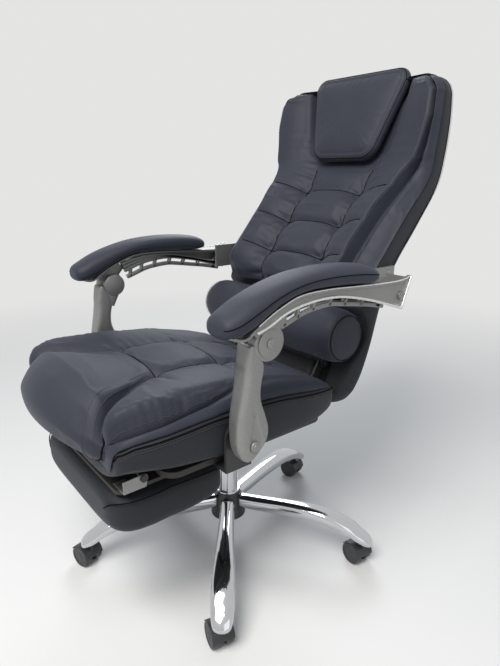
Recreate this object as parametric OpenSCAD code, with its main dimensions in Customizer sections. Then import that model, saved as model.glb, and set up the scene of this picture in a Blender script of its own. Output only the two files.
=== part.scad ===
// Reclining office chair with a fold-out footrest, arms on a swinging linkage and a five-legged base.
// Millimetres. The column axis stands on the origin, the floor is z = 0 and the sitter faces -Y.

/* [Base] */
// Radius from the column to the caster stems
base_r = 345; // [310:1:370]
// Height of the legs' centre line beside the hub
leg_z = 115; // [108:1:122]
// Greatest width of a leg
leg_w = 50; // [44:1:54]
// Greatest height of a leg's section
leg_h = 38; // [34:1:42]
// Wall of the pressed steel legs
leg_wall = 2; // [1.5:0.1:3]
// Radius of the hub at its foot
hub_low_r = 44; // [42:1:48]
// Radius of the hub at its top
hub_top_r = 30; // [29:1:33]
// Height of the hub
hub_h = 66; // [60:1:72]

/* [Casters] */
// Diameter of a caster wheel
wheel_d = 52; // [46:1:52]
// Width of one caster wheel
wheel_w = 17; // [14:1:19]
// Thickness of the web between two wheels
web_t = 13; // [12.5:0.5:16]
// Trail from the stem to the wheel axle
caster_trail = 18; // [15:1:19]
// Diameter of the caster stem
stem_d = 10; // [9:0.5:10]

/* [Gas lift] */
// Outer diameter of the column tube
column_d = 50; // [46:1:52]
// Height of the column tube's mouth
column_top = 265; // [240:1:275]
// Diameter of the sliding cylinder
cylinder_d = 28; // [26:1:30]
// Diameter of the piston rod
rod_d = 10; // [8:1:12]

/* [Seat] */
// Height of the underside of the seat pan
pan_z = 400; // [395:1:440]
// Thickness of the plywood seat pan
pan_t = 12; // [9:1:15]
// Reach of the seat cushion in front of the column
seat_reach = 450; // [440:1:465]
// Depth of the seat cushion from its front roll to its rear nose
seat_d = 554; // [540:1:560]
// Width of the seat
seat_w = 516; // [490:1:518]
// Height of the seat cushions above the pan
seat_h = 166; // [150:1:180]

/* [Back] */
// Height of the backrest from its lower lip to its top
back_h = 730; // [700:1:780]
// Distance that the backrest reaches rearwards from its lower lip
back_lean = 336; // [320:1:350]
// Width of the backrest
back_w = 504; // [490:1:506]
// Thickness of the tufted pad at its side wings
wing_t = 49; // [42:1:54]
// Thickness of the headrest pillow
headrest_t = 30; // [24:1:32]
// Radius of the lumbar bolster
lumbar_r = 60; // [52:1:60]

/* [Arms] */
// Distance from the chair's middle to the middle of an arm frame
arm_x = 297; // [296:1:310]
// Length of an arm frame
arm_l = 468; // [450:1:480]
// Width of an arm pad
arm_pad_w = 78; // [64:1:78]
// Radius of the elbow drum
elbow_r = 32; // [30:1:34]
// Rise of the arm post from its lower pivot to the elbow
post_rise = 183; // [178:1:190]
// Lean of the arm post, rearwards over its rise
post_lean = 30; // [26:1:34]

/* [Footrest] */
// Width of the footrest pad
foot_w = 380; // [340:1:384]
// Length of the footrest pad
foot_l = 235; // [215:1:240]
// Thickness of the footrest pad
foot_t = 96; // [80:1:100]

/* [Fits] */
// Radial clearance of a pin or shaft in its bore
pin_gap = 0.08; // [0.05:0.01:0.1]
// Clearance between soft pieces and what they lie on
soft_gap = 0.3; // [0.3:0.05:0.5]
// Side clearance between moving plates
plate_gap = 0.5; // [0.4:0.1:1]

/* [Hidden] */
$fn = 48;
leg_count = 5;
// Turn of each leg about the column, measured from the chair's front towards its left
first_leg_turn = 51.4;
// Direction in which each caster trails, measured from +X towards +Y
caster_turns = [165, 174, 193, 185, 195];
// Overrun of every cut
over = 1;

// Legs: station shares of the stem radius, the leg height, the leg width and the section height
leg_shares = [
    [0.08, 0.99, 0.72, 0.94], [0.23, 1, 0.74, 0.97], [0.4, 1.015, 0.77, 1], [0.58, 1.015, 0.85, 1],
    [0.725, 0.98, 0.93, 0.97], [0.84, 0.895, 1, 0.92], [0.915, 0.8, 1, 0.87], [0.97, 0.69, 0.96, 0.76],
    [1.015, 0.62, 0.88, 0.68], [1.05, 0.57, 0.68, 0.42], [1.065, 0.55, 0.32, 0.2]
];
// Number of leg stations that the hollow inside runs through
hollow_stations = 7;
hub_drop = 40;
hub_z = leg_z - hub_drop;
hub_lip = 4;
stem_top = leg_z * 0.67;

// Casters
axle_d = 6;
wheel_r = wheel_d / 2;
wheel_gap = 0.3;
hood_gap = 0.9;
hood_t = 1.7;
caster_top = wheel_d + hood_gap + hood_t;
rim_t = 4;
disc_t = 3;
wheel_boss_r = 7;
tread_round = 1.5;
wheel_cap_t = 2;

// Gas lift
tube_wall = 2;
tube_drop = 53;
tube_foot = leg_z - tube_drop;
tube_base_t = 4;
collar_r = hub_top_r;
collar_h = 5;
bush_h = 26;
bush_lip = 3;
bearing_h = 5;
bearing_r = 20;
shoulder_h = 4;
piston_h = 12;
cylinder_wall = 1.5;
cylinder_cap = 8;
rod_drop = 100;
clip_h = 3;

// Seat pan, mechanism and hinge
cushion_z = pan_z + pan_t;
pan_w = 470;
pan_front = 300;
pan_rear = 90;
pan_round = 30;
housing_w = 170;
housing_front = 100;
housing_rear = 75;
housing_h = 45;
sheet_t = 3;
flange_w = 21;
flange_t = 4;
boss_r = 22;
boss_h = 10;
bolt_r = 3;
bolt_head_r = 6;
bolt_head_h = 4;
housing_bolt_y = 60;
plate_t = 5;
plate_x = 146;
plate_front = 40;
plate_drop = 20;
hinge_boss_r = 18;
shaft_r = 8;
lever_r = 4;
lever_drop = 32;
lever_out = 245;
lever_in = 55;
paddle_l = 46;
paddle_w = 26;
paddle_t = 7;
lever_hole_gap = 0.8;
height_lever_y = 20;
lock_lever_y = -66;

// Arm linkage: lower pivot on the seat, elbow, rear pivot on the back and the recline hinge
pivot_y = -171;
pivot_rise = 48;
pivot_z = cushion_z + pivot_rise;
elbow_y = pivot_y + post_lean;
elbow_z = pivot_z + post_rise;
arm_span = 346;
arm_rise = 32;
rear_y = elbow_y + arm_span;
rear_z = elbow_z + arm_rise;
hinge_y = rear_y - post_lean;
hinge_z = rear_z - post_rise;
arm_t = 42;
arm_in = arm_x - arm_t / 2;
arm_out = arm_x + arm_t / 2;
stud_r = 6;
open_gap = 0.3;
bracket_t = 6;
bracket_gap = 6.5;
bracket_w = 58;
bracket_reach = 130;
stud_head_r = 9;
drum_shift = 1;
drum_in = arm_x + drum_shift;
ear_r = 27;
rail_t = 7;
skirt_t = 9;
web_wall = 10;
web_inset = 9;
web_in = arm_x - web_inset;
slot_w = 24;
slot_h = 9;
rear_boss_r = 17;
recess_t = 5;

// Back ears
ear_t = 6;
ear_gap = 1;
ear_bolt_r = 4;
ear_bolt_in = 28;

// Back frame
strip_t = 5;
strip_x = plate_x + plate_t + plate_gap + sheet_t;
strip_w = 18;
// Travel of the recline hinge in degrees, and the room its plates have in the foot of the back
recline_max = 25;
sweep_gap = 2;
back_tube_r = 7;

// Footrest slide and hinge
rail_x = 118;
slide_r = 8;
sleeve_wall = 3;
slide_z = pan_z - sleeve_wall - slide_r;
foot_pivot_y = -322;
foot_pivot_drop = 5.5;
foot_pivot_z = pan_z - foot_pivot_drop;
foot_pin_r = 4;
slide_rear = 95;
sleeve_l = 34;
front_sleeve_y = -295;
rear_sleeve_y = -135;
board_t = 8;
board_drop = 5;
board_top = slide_z - slide_r - board_drop;
board_inset = 14;
foot_front = 60;
foot_bracket_t = 3;
foot_bracket_inset = 4;
foot_bracket_x = foot_w / 2 - foot_bracket_inset;
foot_bracket_r = 8;
foot_bracket_reach = 40;

// Seat cushion: line of its inner face from the front underside over the front to the rear,
// in shares of the seat depth and height
seat_line_shares = [
    [0.11, 0.1], [0.11, 0.26], [0.12, 0.4], [0.16, 0.47], [0.27, 0.51], [0.425, 0.55], [0.58, 0.555],
    [0.72, 0.52], [0.865, 0.45], [0.985, 0.385]
];
// Lower side edge of the seat base and its half width, in shares of depth, height and half width
seat_low_shares = [
    [0.112, 0.15, 0.74], [0.12, 0.17, 0.82], [0.16, 0.22, 0.9], [0.27, 0.155, 0.985], [0.425, 0.075, 1],
    [0.58, 0.02, 1], [0.72, 0.01, 1], [0.865, 0.02, 1], [0.985, 0.1, 0.96], [1, 0.2, 0.9]
];
// Seat widths at places along the line: the sewn seam, the pillow's crest and the edge,
// in shares of half the seat width
seat_seam_shares = [[0, 0.72], [1, 0.74], [2, 0.72], [3, 0.62], [4, 0.455], [4.82, 0.33], [9, 0.33]];
seat_crest_shares = [[0, 0.74], [1, 0.76], [2, 0.77], [3, 0.8], [4, 0.795], [5, 0.775], [9, 0.755]];
seat_edge_shares = [[0, 0.76], [1, 0.785], [2, 0.81], [3, 0.885], [4, 0.975], [5, 1], [8, 1], [9, 0.96]];
// Seat thicknesses at places along the line: middle, seam, pillow crest and edge, in shares of the seat height
seat_middle_shares = [
    [0, 0.09], [0.5, 0.21], [1, 0.29], [1.5, 0.375], [2, 0.46], [2.5, 0.53], [3, 0.555], [3.5, 0.51],
    [4, 0.43], [4.5, 0.34], [5, 0.32], [5.7, 0.31], [7.3, 0.22], [8.3, 0.15], [9, 0.06]
];
seat_valley_shares = [[0, 0.06], [1, 0.22], [2, 0.31], [3, 0.33], [4, 0.28], [5, 0.23], [7, 0.15], [9, 0.04]];
seat_pillow_shares = [
    [0, 0.05], [1, 0.1], [2, 0.15], [2.5, 0.22], [3, 0.32], [3.5, 0.375], [4, 0.385], [5, 0.33], [6, 0.26],
    [7, 0.2], [8, 0.135], [9, 0.06]
];
seat_edge_t_shares = [[0, 0.03], [2, 0.05], [4, 0.07], [9, 0.03]];
seat_rows = [4.82, 6.6, 8.2];
seat_stations = [
    0, 0.5, 1, 1.5, 2, 2.5, 3, 3.5, 4, 4.4, 4.65, 4.82, 5, 5.4, 6, 6.4, 6.6, 6.8, 7, 7.5, 8, 8.2, 8.5, 9
];
seat_row_dip = 11;
row_length_share = 0.16;

// Backrest: line of the box's front from its lower lip to its top, in shares of its lean and height
back_foot_reach = 25;
back_foot_drop = 97;
back_foot_y = hinge_y - back_foot_reach;
back_foot_z = hinge_z - back_foot_drop;
back_line_shares = [
    [0, 0.005], [0.05, 0.05], [0.125, 0.115], [0.185, 0.2], [0.19, 0.28], [0.16, 0.35], [0.15, 0.405],
    [0.315, 0.5], [0.495, 0.595], [0.69, 0.695], [0.73, 0.78], [0.755, 0.87], [0.775, 0.9425],
    [0.78, 0.98], [0.787, 1]
];
// Thickness of the box at each point of its line, in shares of the backrest's lean
back_depth_shares = [
    0.055, 0.062, 0.066, 0.08, 0.165, 0.285, 0.33, 0.285, 0.28, 0.24, 0.262, 0.238, 0.19, 0.16, 0.115
];
// Half widths along the back in shares of half the back width: tuft seam, wing crest and edge
back_seam_shares = [[0, 0.357], [9, 0.357], [9.7, 0.42], [10, 0.47], [11, 0.53], [12, 0.57], [13, 0.59], [14, 0.59]];
back_crest_shares = [[4.7, 0.66], [6.7, 0.715], [7.75, 0.735], [8.7, 0.8], [9.6, 0.88], [11, 0.945], [12, 0.93], [13, 0.84], [14, 0.7]];
back_edge_shares = [
    [0, 0.935], [2, 0.95], [4, 0.97], [6, 0.99], [11, 1], [12, 0.99], [12.5, 0.965], [13, 0.92], [14, 0.78]
];
// Thickness of the tufted pad in shares of the wing's thickness: middle, seam, wing and edge
back_middle_shares = [
    [4.7, 0.2], [5, 0.5], [5.6, 0.64], [8.8, 0.64], [9.3, 0.4], [9.8, 0.16], [12.5, 0.13], [13, 0.1]
];
back_valley_shares = [[4.7, 0.2], [5, 0.4], [5.6, 0.52], [8.8, 0.5], [9.3, 0.36], [9.8, 0.16], [12.5, 0.13], [13, 0.1]];
back_wing_shares = [
    [4.7, 0.25], [5, 0.66], [6, 0.94], [7, 1], [8, 1], [9, 0.96], [10, 0.9], [11, 0.86], [12, 0.7],
    [12.6, 0.45], [13, 0.18]
];
back_edge_t_shares = [[4.7, 0.1], [6, 0.12], [12, 0.12], [13, 0.06]];
// Depth of the hollow behind the headrest, in shares of the headrest's thickness
back_recess_shares = [[0, 0], [9, 0], [9.5, 0.25], [10, 0.65], [11, 1.15], [12, 1.35], [13, 1.35], [14, 1.1]];
back_rows = [6.41, 7.39, 8.41];
topper_stations = [
    4.74, 5, 5.3, 5.6, 6, 6.25, 6.41, 6.57, 7, 7.23, 7.39, 7.55, 8, 8.25, 8.41, 8.57, 9, 9.5, 10, 10.5, 11, 12, 12.6, 13
];
// Stations before and after one that turn the box's rear at it
back_rear_reach = 2;
box_stations = [
    0, 1, 2, 3, 3.5, 4, 5, 6, 7, 8, 9, 9.5, 10, 10.5, 11, 12, 12.6, 13, 14
];
back_row_dip = 9;

// Headrest: line of its rear face in shares of its lean and height, then its thickness
// and half width along that line
headrest_y = back_foot_y + back_lean * 0.6955;
headrest_z = back_foot_z + back_h * 0.744;
headrest_lean = 65;
headrest_h = 204;
headrest_w = 278;
headrest_shares = [
    [0, 0, 0.35, 0.7], [0.1, 0.06, 0.75, 0.745], [0.35, 0.2, 0.96, 0.78], [0.68, 0.43, 1, 0.85],
    [0.89, 0.65, 0.97, 0.92], [0.94, 0.83, 0.85, 0.975], [0.97, 0.94, 0.65, 0.99], [1, 0.99, 0.3, 0.95]
];

// Column of the sewn pads: zone from the middle to the edge, place in the zone and the shares of
// middle, seam, crest and edge thickness that meet there, then the share of the headrest hollow
column_shares = [
    [0, 0, 1, 0, 0, 0, 1], [0, 0.45, 0.97, 0.03, 0, 0, 1], [0, 0.8, 0.72, 0.28, 0, 0, 1],
    [0, 1, 0, 1, 0, 0, 1], [1, 0.16, 0, 0.62, 0.38, 0, 0.97], [1, 0.45, 0, 0.2, 0.8, 0, 0.85],
    [1, 1, 0, 0, 1, 0, 0.3], [2, 0.3, 0, 0, 0.88, 0.12, 0.15], [2, 0.6, 0, 0, 0.58, 0.42, 0.05],
    [2, 0.85, 0, 0, 0.25, 0.75, 0], [2, 1, 0, 0, 0, 1, 0]
];

// Lumbar bolster: places along half its width and its radius there
lumbar_w = 474;
lumbar_shares = [
    [-1, 0.3], [-0.985, 0.62], [-0.94, 0.84], [-0.82, 0.96], [-0.4, 1], [0.4, 1], [0.82, 0.96],
    [0.94, 0.84], [0.985, 0.62], [1, 0.3]
];
lumbar_rise = 79;
lumbar_front = 21.6;
lumbar_z = hinge_z + lumbar_rise;
lumbar_y = hinge_y - lumbar_front;

// Arm outlines in shares of the arm's length from its front tip and of its height
arm_nose = 95;
arm_drop = 9;
arm_tip_y = elbow_y - arm_nose;
arm_low_z = elbow_z - arm_drop;
arm_h = 121;
arm_top_shares = [
    [0.015, 0.33], [0.06, 0.265], [0.09, 0.265], [0.12, 0.33], [0.17, 0.445], [0.25, 0.585], [0.34, 0.685],
    [0.48, 0.695], [0.63, 0.66], [0.8, 0.62], [0.93, 0.61], [0.975, 0.635]
];
arm_skirt_shares = [
    [0.12, 0.25], [0.185, 0.345], [0.26, 0.47], [0.35, 0.545], [0.455, 0.57], [0.57, 0.535],
    [0.675, 0.455], [0.78, 0.33], [0.905, 0.175], [0.94, 0.14], [0.96, 0.225], [0.98, 0.44], [1, 0.57]
];
arm_web_shares = [
    [0.29, 0.165], [0.34, 0.215], [0.405, 0.29], [0.475, 0.33], [0.555, 0.34], [0.63, 0.3], [0.805, 0.19],
    [0.9, 0.1], [0.95, 0.1]
];
slot_shares = [[0.375, 0.4, 28], [0.45, 0.46, 18], [0.53, 0.475, 3], [0.61, 0.45, -14], [0.69, 0.4, -14], [0.77, 0.34, -14]];
// Arm pad: place along the arm, middle height and half height, and half width
arm_pad_shares = [
    [-0.002, 0.4, 0.05, 0.5], [0.012, 0.42, 0.09, 0.78], [0.05, 0.44, 0.155, 0.95], [0.12, 0.55, 0.19, 1],
    [0.22, 0.715, 0.155, 1], [0.34, 0.83, 0.135, 1], [0.48, 0.855, 0.15, 1], [0.62, 0.83, 0.16, 1],
    [0.72, 0.79, 0.15, 0.97], [0.765, 0.765, 0.11, 0.85], [0.78, 0.75, 0.06, 0.6]
];
// Post: height share, front edge, rear edge and width share
post_front = 31;
post_drop = 32;
post_foot_y = pivot_y - post_front;
post_foot_z = pivot_z - post_drop;
post_d = 62;
post_h = 200;
post_shares = [
    [0, 0.33, 0.42, 0.5], [0.03, 0.2, 0.6, 0.75], [0.085, 0.09, 0.8, 0.88], [0.165, 0.0, 1.02, 0.97],
    [0.275, -0.03, 1.09, 1], [0.415, -0.04, 0.96, 1], [0.575, 0.03, 0.74, 1], [0.715, 0.08, 0.71, 1],
    [0.85, 0.1, 0.79, 1], [0.93, 0.06, 0.84, 1]
];
// Teardrop recess on the outer face of the post
tear_shares = [
    [0.5, 0.075], [0.33, 0.12], [0.3, 0.2], [0.38, 0.33], [0.44, 0.5], [0.47, 0.66], [0.53, 0.5],
    [0.68, 0.33], [0.82, 0.22], [0.78, 0.13], [0.64, 0.08]
];
// Footrest pad: place along its length, then lower and upper limits and half width
foot_pad_shares = [
    [0, 0.25, 0.8, 0.9], [0.02, 0.12, 0.93, 0.965], [0.1, 0.03, 0.99, 1], [0.3, -0.03, 1, 1],
    [0.5, -0.05, 1, 0.985], [0.7, -0.03, 1, 1], [0.9, 0.05, 0.99, 1], [0.98, 0.16, 0.93, 0.965],
    [1, 0.3, 0.8, 0.9]
];

// A value between two others
function between(low, high, share) = low + (high - low) * share;
// Points from shares of a two-way size
function place(shares, start, size) = [for (s = shares) [start[0] + s[0] * size[0], start[1] + s[1] * size[1]]];
// Point on a line of points, counted in points
function on_line(line, s) =
    let (i = min(floor(s), len(line) - 2)) between(line[i], line[i + 1], s - i);
// Unit vector square to the line, on its outer side, from the points a reach before and after it
function off_line(line, s, reach = 0.5) =
    let (
        a = on_line(line, max(s - reach, 0)),
        b = on_line(line, min(s + reach, len(line) - 1))
    ) [a[1] - b[1], b[0] - a[0]] / norm(b - a);
// Power that keeps its sign
function signed_power(value, power) = sign(value) * pow(abs(value), power);
// Ring of points round a centre, clockwise as seen against the loft's direction
function ring(centre, across, up, half_w, half_h, count, fullness) = [
    for (k = [0:count - 1])
        let (a = 180 - 360 * (k + 0.5) / count)
        centre + across * half_w * signed_power(cos(a), 2 / fullness)
            + up * half_h * signed_power(sin(a), 2 / fullness)
];

// Points of an arc between two turns
function arc(r, from, to, steps) = [for (k = [0:steps]) let (a = between(from, to, k / steps)) r * [cos(a), sin(a)]];

// Closed form through rings of equal count
module loft(rings) {
    count = len(rings[0]);
    last = len(rings) - 1;
    half = count / 2;
    walls = [
        for (i = [0:last - 1], j = [0:count - 1])
            let (a = i * count + j, b = i * count + (j + 1) % count)
            each j < half ? [[a, a + count, b + count], [a, b + count, b]]
                : [[a, a + count, b], [b, a + count, b + count]]
    ];
    start_cap = [
        for (j = [0:half - 2])
            let (a = j, b = j + 1, c = count - 2 - j, d = count - 1 - j)
            each [[a, b, c], [a, c, d]]
    ];
    end_cap = [for (face = start_cap) [face[2], face[1], face[0]] + [1, 1, 1] * last * count];
    polyhedron([for (r = rings) each r], concat(walls, start_cap, end_cap), convexity = 10);
}

// Plate with round corners
module round_plate(size, corner, height) {
    for (w = [[size[0] - 2 * corner, size[1]], [size[0], size[1] - 2 * corner]])
        translate([-w[0] / 2, -w[1] / 2, 0]) cube([w[0], w[1], height]);
    for (x = [-1, 1], y = [-1, 1])
        translate([x * (size[0] / 2 - corner), y * (size[1] / 2 - corner), 0]) cylinder(r = corner, h = height);
}

// Cylinder along X between two places
module rod_x(r, from, to, y, z) {
    translate([from, y, z]) rotate([0, 90, 0]) cylinder(r = r, h = to - from);
}

// Outline in Y and Z, drawn out along X between two places
module slab_x(points, from, to) {
    translate([from, 0, 0]) rotate([90, 0, 90]) linear_extrude(to - from) polygon(points);
}

// Both sides of the chair
module both_sides() {
    children();
    mirror([1, 0, 0]) children();
}

// Columns of a sewn pad at one station, from one edge to the other
function column_place(c, seam, crest, edge) =
    c[0] == 0 ? c[1] * seam : c[0] == 1 ? between(seam, crest, c[1]) : between(crest, edge, c[1]);
function column_t(c, t) = c[2] * t[0] + c[3] * t[1] + c[4] * t[2] + c[5] * t[3];
last_column = len(column_shares) - 1;
columns = [for (k = [-last_column:last_column]) [k < 0 ? -1 : 1, column_shares[abs(k)]]];
function pad_face(line, s, widths, t, hollow) =
    let (p = on_line(line, s), n = off_line(line, s))
    [
        for (c = columns)
            let (q = p + n * (column_t(c[1], t) - hollow * c[1][6]))
            [c[0] * column_place(c[1], widths[0], widths[1], widths[2]), q[0], q[1]]
    ];
function reversed(list) = [for (i = [len(list) - 1:-1:0]) list[i]];
// Drop of the pad in a sewn row
function row_drop(s, rows, depth) = depth * max([for (r = rows) exp(-pow((s - r) / row_length_share, 2))]);

// Places that several pieces share
seat_half = seat_w / 2;
seat_size = [seat_d, seat_h];
seat_start = [-seat_reach, cushion_z];
seat_line = place(seat_line_shares, seat_start, seat_size);
back_half = back_w / 2;
back_line = place(back_line_shares, [back_foot_y, back_foot_z], [back_lean, back_h]);
arm_start = [arm_tip_y, arm_low_z];
arm_size = [arm_l, arm_h];
arm_top = place(arm_top_shares, arm_start, arm_size);
post_start = [post_foot_y, post_foot_z];
post_size = [post_d, post_h];
bracket_x = seat_half + bracket_gap;

// Hub
module hub_outline(bore) {
    rotate_extrude()
        polygon([
            [bore, hub_z], [hub_low_r, hub_z], [hub_low_r, hub_z + hub_lip], [hub_top_r, hub_z + hub_h], [bore, hub_z + hub_h]
        ]);
}

module base_hub() {
    color([0.05, 0.05, 0.06]) hub_outline(column_d / 2 + pin_gap);
}

// One leg, drawn along +Y and turned to its place
module leg_shape(inset, stations) {
    loft([
        for (s = stations)
            ring(
                [0, s[0] * base_r, s[1] * leg_z], [1, 0, 0], [0, 0, 1],
                s[2] * leg_w / 2 - inset, s[3] * leg_h / 2 - inset, 12, 2.6
            )
    ]);
}

module base_leg(k) {
    color([0.75, 0.76, 0.78])
        difference() {
            rotate([0, 0, 180 + first_leg_turn + k * 360 / leg_count])
                difference() {
                    leg_shape(0, leg_shares);
                    leg_shape(leg_wall, [for (i = [0:hollow_stations - 1]) leg_shares[i]]);
                    translate([0, base_r, 0]) cylinder(r = stem_d / 2 + pin_gap, h = stem_top + over);
                }
            hub_outline(0);
        }
}

// Casters: stem on the local Z axis, wheels trailing along local +X
module at_caster(k) {
    rotate([0, 0, 180 + first_leg_turn + k * 360 / leg_count])
        translate([0, base_r, 0])
            rotate([0, 0, caster_turns[k] - 180 - first_leg_turn - k * 360 / leg_count]) children();
}

module caster_housing(k) {
    rise = wheel_r + hood_gap + hood_t;
    color([0.12, 0.12, 0.13])
        at_caster(k)
            difference() {
                union() {
                    translate([caster_trail, 0, wheel_r]) rotate([90, 0, 0]) {
                        linear_extrude(web_t, center = true)
                            polygon(concat(arc(rise - hood_t / 2, 20, 180, 20), arc(wheel_r * 0.76, 190, 368, 20)));
                        linear_extrude(web_t + 2 * (wheel_w + wheel_gap), center = true)
                            polygon(concat(arc(rise, 30, 178, 20), reversed(arc(rise - hood_t, 30, 178, 20))));
                    }
                    translate([0, 0, wheel_r + over]) cylinder(r = web_t * 0.47, h = caster_top - wheel_r - over);
                }
                translate([0, 0, wheel_r + tread_round]) cylinder(r = stem_d / 2 + pin_gap, h = caster_top);
                translate([caster_trail, web_t, wheel_r])
                    rotate([90, 0, 0]) cylinder(r = axle_d / 2 + pin_gap, h = 2 * web_t);
            }
}

module caster_pins(k) {
    axle_l = web_t + 2 * (wheel_gap + wheel_w - wheel_cap_t - wheel_gap);
    color([0.7, 0.7, 0.72])
        at_caster(k) {
            translate([0, 0, wheel_r + tread_round + pin_gap])
                cylinder(r = stem_d / 2, h = stem_top - wheel_r - tread_round);
            translate([caster_trail, axle_l / 2, wheel_r]) rotate([90, 0, 0]) cylinder(r = axle_d / 2, h = axle_l);
        }
}

module caster_wheel(k, side) {
    bore = axle_d / 2 + pin_gap;
    near = web_t / 2 + wheel_gap;
    far = near + wheel_w;
    rim = wheel_r - rim_t;
    face = far - disc_t * 0.4;
    color([0.16, 0.16, 0.17])
        at_caster(k)
            translate([caster_trail, 0, wheel_r])
                rotate([side * 90, 0, 0])
                    rotate_extrude()
                        polygon([
                            [0, far - wheel_cap_t], [bore, far - wheel_cap_t], [bore, near], [wheel_boss_r, near],
                            [wheel_boss_r, far - 1.5 * disc_t], [rim, far - 1.5 * disc_t], [rim, near],
                            [wheel_r - tread_round, near], [wheel_r, near + tread_round],
                            [wheel_r, far - tread_round], [wheel_r - tread_round, far],
                            [rim - tread_round, far], [rim - 2 * tread_round, face],
                            [wheel_boss_r + 2 * tread_round, face], [wheel_boss_r + tread_round, far], [0, far]
                        ]);
}

// Gas lift
module lift_outer_tube() {
    r = column_d / 2;
    in = r - tube_wall;
    foot = hub_z + hub_h;
    color([0.78, 0.79, 0.81])
        rotate_extrude()
            polygon([
                [rod_d / 2 + pin_gap, tube_foot], [r, tube_foot], [r, foot], [collar_r, foot],
                [collar_r, foot + collar_h], [r, foot + collar_h], [r, column_top], [in, column_top],
                [in, tube_foot + tube_base_t], [rod_d / 2 + pin_gap, tube_foot + tube_base_t]
            ]);
}

module lift_guide_bush() {
    in = column_d / 2 - tube_wall;
    color([0.08, 0.08, 0.09])
        rotate_extrude()
            polygon([
                [cylinder_d / 2 + pin_gap, column_top - bush_h], [in, column_top - bush_h], [in, column_top],
                [column_d / 2, column_top], [column_d / 2, column_top + bush_lip],
                [cylinder_d / 2 + pin_gap, column_top + bush_lip]
            ]);
}

module lift_thrust_bearing() {
    color([0.5, 0.5, 0.52])
        translate([0, 0, tube_foot + tube_base_t])
            difference() {
                cylinder(r = bearing_r, h = bearing_h);
                translate([0, 0, -over]) cylinder(r = rod_d / 2 + pin_gap, h = bearing_h + 2 * over);
            }
}

module lift_rod() {
    seat = tube_foot + tube_base_t + bearing_h;
    head = pan_z - rod_drop;
    color([0.8, 0.8, 0.82]) {
        translate([0, 0, tube_foot - 2 * clip_h]) cylinder(r = rod_d / 2, h = head - tube_foot);
        translate([0, 0, seat + pin_gap]) cylinder(r = rod_d * 0.9, h = shoulder_h);
        translate([0, 0, head - piston_h]) cylinder(r = cylinder_d / 2 - cylinder_wall - pin_gap, h = piston_h);
        translate([0, 0, tube_foot - clip_h - pin_gap]) cylinder(r = rod_d * 0.9, h = clip_h);
    }
}

module lift_cylinder() {
    low = tube_foot + tube_base_t + bearing_h + 2 * shoulder_h;
    top = pan_z - cylinder_cap;
    r = cylinder_d / 2;
    in = r - cylinder_wall;
    rod = rod_d / 2 + pin_gap;
    color([0.1, 0.1, 0.11])
        rotate_extrude()
            polygon([
                [rod, low], [r, low], [r, top], [0, top], [0, top - cylinder_cap], [in, top - cylinder_cap],
                [in, low + cylinder_cap], [rod, low + cylinder_cap]
            ]);
}

// Seat body
module bolt_places(places) {
    for (p = places) translate([p[0], p[1], 0]) children();
}
housing_bolts = [
    for (x = [-1, 1], y = [-1, 1])
        [x * (housing_w / 2 + flange_w / 2), (housing_rear - housing_front) / 2 + y * housing_bolt_y]
];
bracket_bolts = [for (x = [-1, 1], s = [0.25, 0.65]) [x * (bracket_x - bracket_reach * s), pivot_y]];

module mechanism_housing() {
    l = housing_front + housing_rear;
    color([0.09, 0.09, 0.1])
        difference() {
            union() {
                translate([-housing_w / 2, -housing_front, pan_z - housing_h])
                    cube([housing_w, l, housing_h]);
                translate([-housing_w / 2 - flange_w, -housing_front, pan_z - flange_t])
                    cube([housing_w + 2 * flange_w, l, flange_t]);
                translate([0, 0, pan_z - housing_h - boss_h]) cylinder(r = boss_r, h = housing_h);
            }
            difference() {
                translate([-housing_w / 2 + sheet_t, -housing_front + sheet_t, pan_z - housing_h + sheet_t])
                    cube([housing_w - 2 * sheet_t, l - 2 * sheet_t, housing_h]);
                translate([0, 0, pan_z - housing_h - over]) cylinder(r = boss_r, h = housing_h);
            }
            translate([0, 0, pan_z - housing_h - boss_h - over])
                cylinder(r = cylinder_d / 2 + pin_gap, h = housing_h + boss_h - cylinder_cap + over + pin_gap);
            for (y = [height_lever_y, lock_lever_y])
                rod_x(lever_r + lever_hole_gap, -housing_w / 2 - over, -housing_w / 2 + sheet_t + over, y, pan_z - lever_drop);
            translate([0, 0, pan_z - flange_t - over])
                bolt_places(housing_bolts) cylinder(r = bolt_r + pin_gap, h = flange_t + 2 * over);
        }
}

module seat_pan() {
    l = pan_front + pan_rear;
    color([0.42, 0.32, 0.2])
        difference() {
            translate([0, (pan_rear - pan_front) / 2, pan_z]) round_plate([pan_w, l], pan_round, pan_t);
            translate([0, 0, pan_z - over])
                bolt_places(concat(housing_bolts, bracket_bolts)) cylinder(r = bolt_r + pin_gap, h = pan_t);
        }
}

module seat_bolts() {
    color([0.6, 0.6, 0.62]) {
        for (set = [[housing_bolts, flange_t], [bracket_bolts, bracket_t]])
            bolt_places(set[0]) {
                translate([0, 0, pan_z - set[1] - bolt_head_h]) cylinder(r = bolt_head_r, h = bolt_head_h);
                translate([0, 0, pan_z - set[1]]) cylinder(r = bolt_r, h = set[1] + pan_t - 2 * over);
            }
    }
}

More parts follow.
